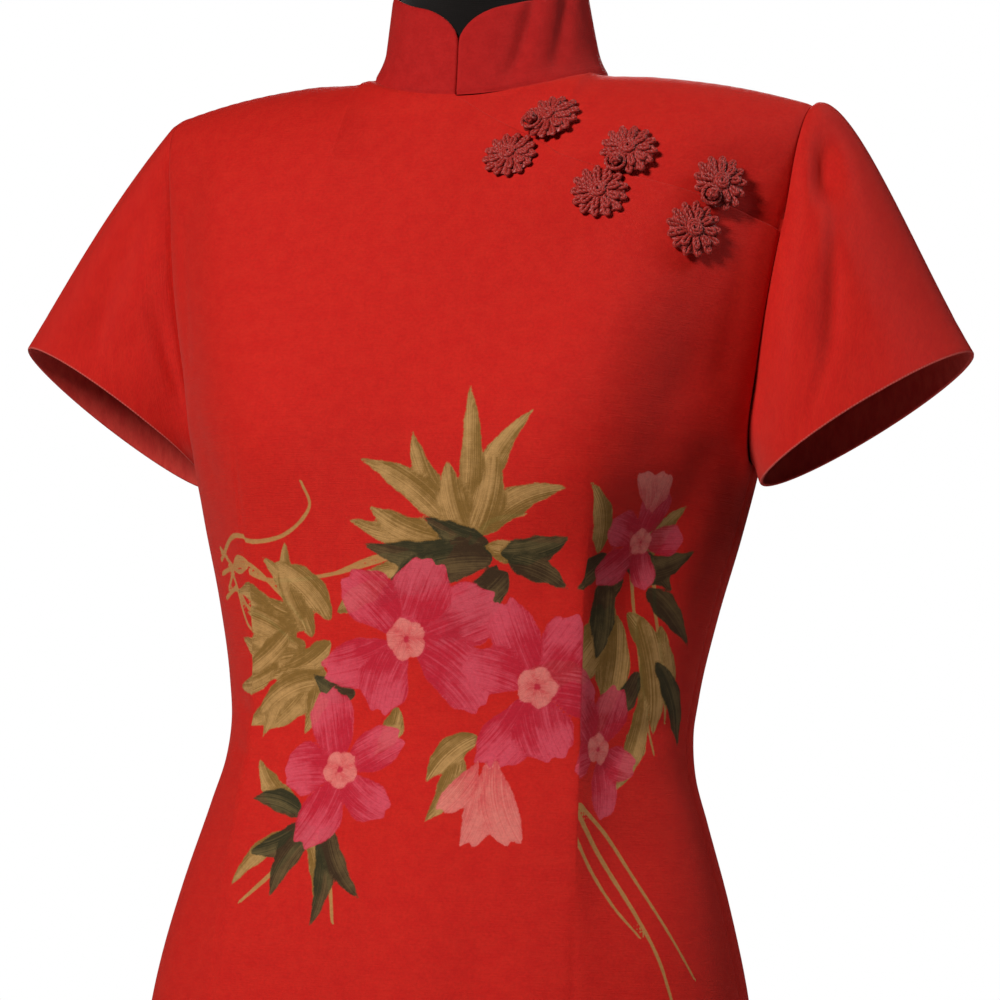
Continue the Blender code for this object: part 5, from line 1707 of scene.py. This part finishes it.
def build_form(name):
    body = [form_ring(rise) for rise in FORM_RISES]
    middle = body[0].mean(axis=0)
    under = [
        middle + (body[0] - middle) * (size, size, 1) - (0, 0, FORM_UNDER * drop)
        for size, drop in FORM_ROUNDING
    ]
    rings = np.array(under + body)
    count, columns = rings.shape[:2]
    near = np.arange(round((1 - NECK_SHARE) * FORM_HALF), round((1 + NECK_SHARE) * FORM_HALF) + 1)
    foot = (count - 1) * columns + np.concatenate((near, columns // 2 + near[1:-1]))
    points = rings.reshape(-1, 3)
    neck = [neck_ring(points[foot], share) for share in FORM_NECK_SHARES]
    at = numbered(len(neck), len(foot), start=len(points))
    faces = quads(numbered(count, columns), around=True) + [list(range(columns))]
    faces += quads(np.concatenate((foot[None], at)), around=True) + [at[-1].tolist()]
    obj = new_piece(name, np.concatenate([points, *neck]), faces, [form_jersey], 60)
    turn_outward(obj.data, weld=1e-5)
    place = np.array([vertex.co for vertex in obj.data.vertices])
    keep_weave(obj.data, np.stack((np.arctan2(place[:, 0], -place[:, 1]) * 0.13, place[:, 2]), -1))
    return obj, neck[-1]


form_cover, neck_rim = build_form("form_cover")
print("form:", len(form_cover.data.vertices), "vertices, neck", short(np.ptp(neck_rim[:, 0])), "m across")

# %% [markdown]
# ## Cap, pole and base
# The neck ends in a small turned cap, and the form stands on a steel pole in a round, heavy base, so
# that it doesn't tip. All three are turned shapes: a profile spun round an axis. A cylinder with a
# bevel comes close, but a profile gives the foot's soft rise into the pole and a rounded rim.

# %% Pole and base
BASE_RADIUS, BASE_THICKNESS, BASE_ROUND = 0.190, 0.012, 0.0035
HUB_RADIUS, HUB_TOP, POLE_RADIUS, POLE_BEVEL = 0.028, 0.050, 0.0125, 0.0004
POLE_FOOT, POLE_TOP = HUB_TOP + SEAM, FORM_BOTTOM_Z - FORM_UNDER - SEAM
BASE_PROFILE = (
    (0.010, 0.0), (BASE_RADIUS, 0.0), (BASE_RADIUS, BASE_THICKNESS),
    (HUB_RADIUS + 0.012, BASE_THICKNESS + 0.002), (HUB_RADIUS, BASE_THICKNESS + 0.006),
    (HUB_RADIUS * 0.66, HUB_TOP), (0.006, HUB_TOP),
)
POLE_PROFILE = (
    (POLE_RADIUS - POLE_BEVEL, POLE_FOOT), (POLE_RADIUS, POLE_FOOT + POLE_BEVEL),
    (POLE_RADIUS, HUB_TOP + 0.02), (POLE_RADIUS, 0.40),
    (POLE_RADIUS, POLE_TOP - POLE_BEVEL), (POLE_RADIUS - POLE_BEVEL, POLE_TOP),
)


def tube_piece(name, rings, material):
    """A closed piece from rings of points."""
    obj = new_piece(name, np.concatenate(rings), tube_faces(len(rings), len(rings[0])), [material], 40)
    print(f"{name}: {len(obj.data.vertices)} vertices, {short(obj.dimensions.x)} m across")
    return obj


def spun(name, profile, columns, material):
    ring = circle(turns(columns), (1, 0, 0), (0, 1, 0))
    return tube_piece(name, [ring * radius + (0, 0, z) for radius, z in profile], material)


def rounded(profile, radius, steps=4):
    """The profile with its inner corners rounded off."""
    profile = np.array(profile)
    made = [profile[0]]
    for before, corner, after in zip(profile, profile[1:], profile[2:]):
        back, ahead = before - corner, after - corner
        reach = min(radius, np.linalg.norm(back) * 0.45, np.linalg.norm(ahead) * 0.45)
        start, stop = corner + unit(back) * reach, corner + unit(ahead) * reach
        for t in np.linspace(0, 1, steps + 1):
            made.append((1 - t) ** 2 * start + 2 * t * (1 - t) * corner + t * t * stop)
    return [*made, profile[-1]]


stand_foot = spun("stand_foot", rounded(BASE_PROFILE, BASE_ROUND), 128, stand_paint)
stand_tube = spun("stand_tube", POLE_PROFILE, 48, stand_paint)

# %% The cap on the neck
CAP_HEIGHT = 0.008
CAP_RIMS = (  # size and height of the cap's rings, as shares
    (0.985, 0), (1.005, 0.06), (1.012, 0.25), (1.0, 0.50), (0.965, 0.74),
    (0.90, 0.90), (0.80, 1.0), (0.55, 1.18), (0.30, 1.27), (0.10, 1.3),
)
rim_middle = neck_rim.mean(axis=0)
neck_cap = tube_piece("neck_cap", [
    rim_middle + (neck_rim - rim_middle) * (size, size, 1) + (0, 0, SEAM + CAP_HEIGHT * lift)
    for size, lift in CAP_RIMS
], cap_paint)

# %% [markdown]
# ## Every piece on its body
# The frame has no joints, so all pieces ride on its one body. Each new piece takes the place of the
# plain solid that it stands for, and each cloth piece is listed with how large it was cut.

# %% Ride, replace and cut sizes
def hand_over(piece, node):
    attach(piece, "root")
    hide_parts(node)


Cut = namedtuple("Cut", "piece node width length area")
CUTS = (
    Cut(front_panel, "front", 0.52, 1.06, 0.45),
    Cut(back_panel, "back", 0.50, 1.03, 0.45),
    Cut(flap_piece, "shoulder_flap", 0.26, 0.22, 0.030),
    Cut(sleeve_right_cloth, "sleeve_right", 0.44, 0.14, 0.040),
    Cut(sleeve_left_cloth, "sleeve_left", 0.44, 0.14, 0.040),
    Cut(collar_band, "collar", 0.42, 0.055, 0.021),
)
for cut in CUTS:
    hand_over(cut.piece, cut.node)
for piece, node in frog_pieces:
    hand_over(piece, node)
hand_over(form_cover, "form_torso")
hand_over(neck_cap, "form_cap")
hand_over(stand_foot, "stand_base")
hand_over(stand_tube, "stand_pole")
print("pieces of cloth:", len(CUTS), "pieces of the frogs:", len(frog_pieces))

# %% [markdown]
# ## Floor, light and camera
# A studio picture has a pale floor, a bright backdrop and one strong soft light from the side, which
# shows the shape of the cloth. Honeycomb grids on the softboxes keep the light off the floor, which
# would throw it back into the shadows. A weaker fill stops the shadows from going black, and one light
# behind lights the back of the dress. The floor is a pale board that is lit a little from
# within, so it stays pale where the grids cut the light off. The backdrop is bright to the eye but adds
# little light, as in a studio where it is lit apart.

# %% Floor
FLOOR_RADIUS, FLOOR_SIDES, FLOOR_GLOW = 1.9, 96, 0.22
FLOOR_TINTS = ((0.90, 0.90, 0.89, 1), (0.95, 0.95, 0.94, 1))


def pale_floor():
    points = FLOOR_RADIUS * circle(turns(FLOOR_SIDES), (1, 0, 0), (0, 1, 0)) - (0, 0, 0.0005)
    mesh = bpy.data.meshes.new("floor")
    mesh.from_pydata(points.tolist(), [], [tuple(range(FLOOR_SIDES))])
    material, tree = start_material("floor_paint")
    shader = tree.nodes["Principled BSDF"]
    cloudy = noise(tree, solid_place(tree), 1.4, 4.0, 0.6)
    feed(tree, shader.inputs["Base Color"], over(tree, stretch(tree, cloudy, 0.3, 0.7), *FLOOR_TINTS))
    shader.inputs["Roughness"].default_value = 0.85
    shader.inputs["Emission Color"].default_value = (1, 1, 0.99, 1)
    shader.inputs["Emission Strength"].default_value = FLOOR_GLOW
    mesh.materials.append(material)
    return link("floor", mesh)


pale_floor()
print("the floor is", 2 * FLOOR_RADIUS, "m across")

# %% Lights
Light = namedtuple("Light", "name place aim size power spread colour")
LIGHTS = (
    Light("key_light", (-0.95, -3.16, 2.50), (0.0, 0.0, 1.07), 0.9, 10.8, 52, (1.0, 0.985, 0.96)),
    Light("fill_light", (2.60, 0.80, 3.60), (0.0, 0.0, 1.15), 0.9, 4.4, 60, (1.0, 0.98, 0.96)),
    Light("back_light", (-1.00, 3.60, 3.00), (0.0, 0.0, 1.15), 1.4, 42, 180, (1.0, 0.99, 0.98)),
)


def put(obj, place, axes):
    """Places an object with its own axes in these directions."""
    obj.matrix_world = Matrix.Translation(place) @ Matrix(np.stack(axes, 1).tolist()).to_4x4()
    return obj


def soft_light(light):
    """A round softbox. spread is how wide its honeycomb grid lets the light fan out."""
    data = bpy.data.lights.new(light.name, "AREA")
    data.shape, data.size, data.energy, data.color = "DISK", light.size, light.power, light.colour
    data.spread = math.radians(light.spread)
    backward = unit(np.subtract(light.place, light.aim))
    return put(link(light.name, data), light.place, (*level_axes(backward), backward))


for light in LIGHTS:
    soft_light(light)
print("lights:", [light.name for light in bpy.data.lights])

# %% Backdrop
BACKDROP_SEEN, BACKDROP_LIGHT = 1.0, 0.004  # how bright it looks, and how much it lights

world = bpy.data.worlds.new("backdrop")
bpy.context.scene.world = world
world.use_nodes = True
sky = world.node_tree
behind, seen = sky.nodes["Background"], sky.nodes.new("ShaderNodeBackground")
for background, strength in ((behind, BACKDROP_LIGHT), (seen, BACKDROP_SEEN)):
    background.inputs["Color"].default_value = (1, 1, 1, 1)
    background.inputs["Strength"].default_value = strength
is_seen = add(sky, "LightPath").outputs["Is Camera Ray"]
choose = add(sky, "MixShader", (is_seen, behind.outputs[0], seen.outputs[0]))
sky.links.new(choose.outputs[0], sky.nodes["World Output"].inputs["Surface"])
bpy.context.scene.view_settings.view_transform = "Standard"
print("the backdrop lights with a strength of", BACKDROP_LIGHT)

# %% Camera
CAMERA_AWAY, CAMERA_AZIMUTH, CAMERA_Z = 1.992, math.radians(19.50), 0.964
CAMERA_AIM, CAMERA_ROLL, CAMERA_LENS, CAMERA_SENSOR = (0.0170, 0.0, 1.1665), math.radians(-2.66), 122.67, 36.0


def aimed_camera():
    data = bpy.data.cameras.new("camera")
    data.lens, data.sensor_width = CAMERA_LENS, CAMERA_SENSOR
    place = (CAMERA_AWAY * math.sin(CAMERA_AZIMUTH), -CAMERA_AWAY * math.cos(CAMERA_AZIMUTH), CAMERA_Z)
    backward = unit(np.subtract(place, CAMERA_AIM))
    right, upward = level_axes(backward)
    c, s = math.cos(CAMERA_ROLL), math.sin(CAMERA_ROLL)
    return put(link("camera", data), place, (c * right - s * upward, s * right + c * upward, backward))


bpy.context.scene.camera = aimed_camera()
print("camera", CAMERA_AWAY, "m away, lens", CAMERA_LENS, "mm")

# %% [markdown]
# ## Size
# Fabric stands a little proud of the frame, but the object keeps its size.
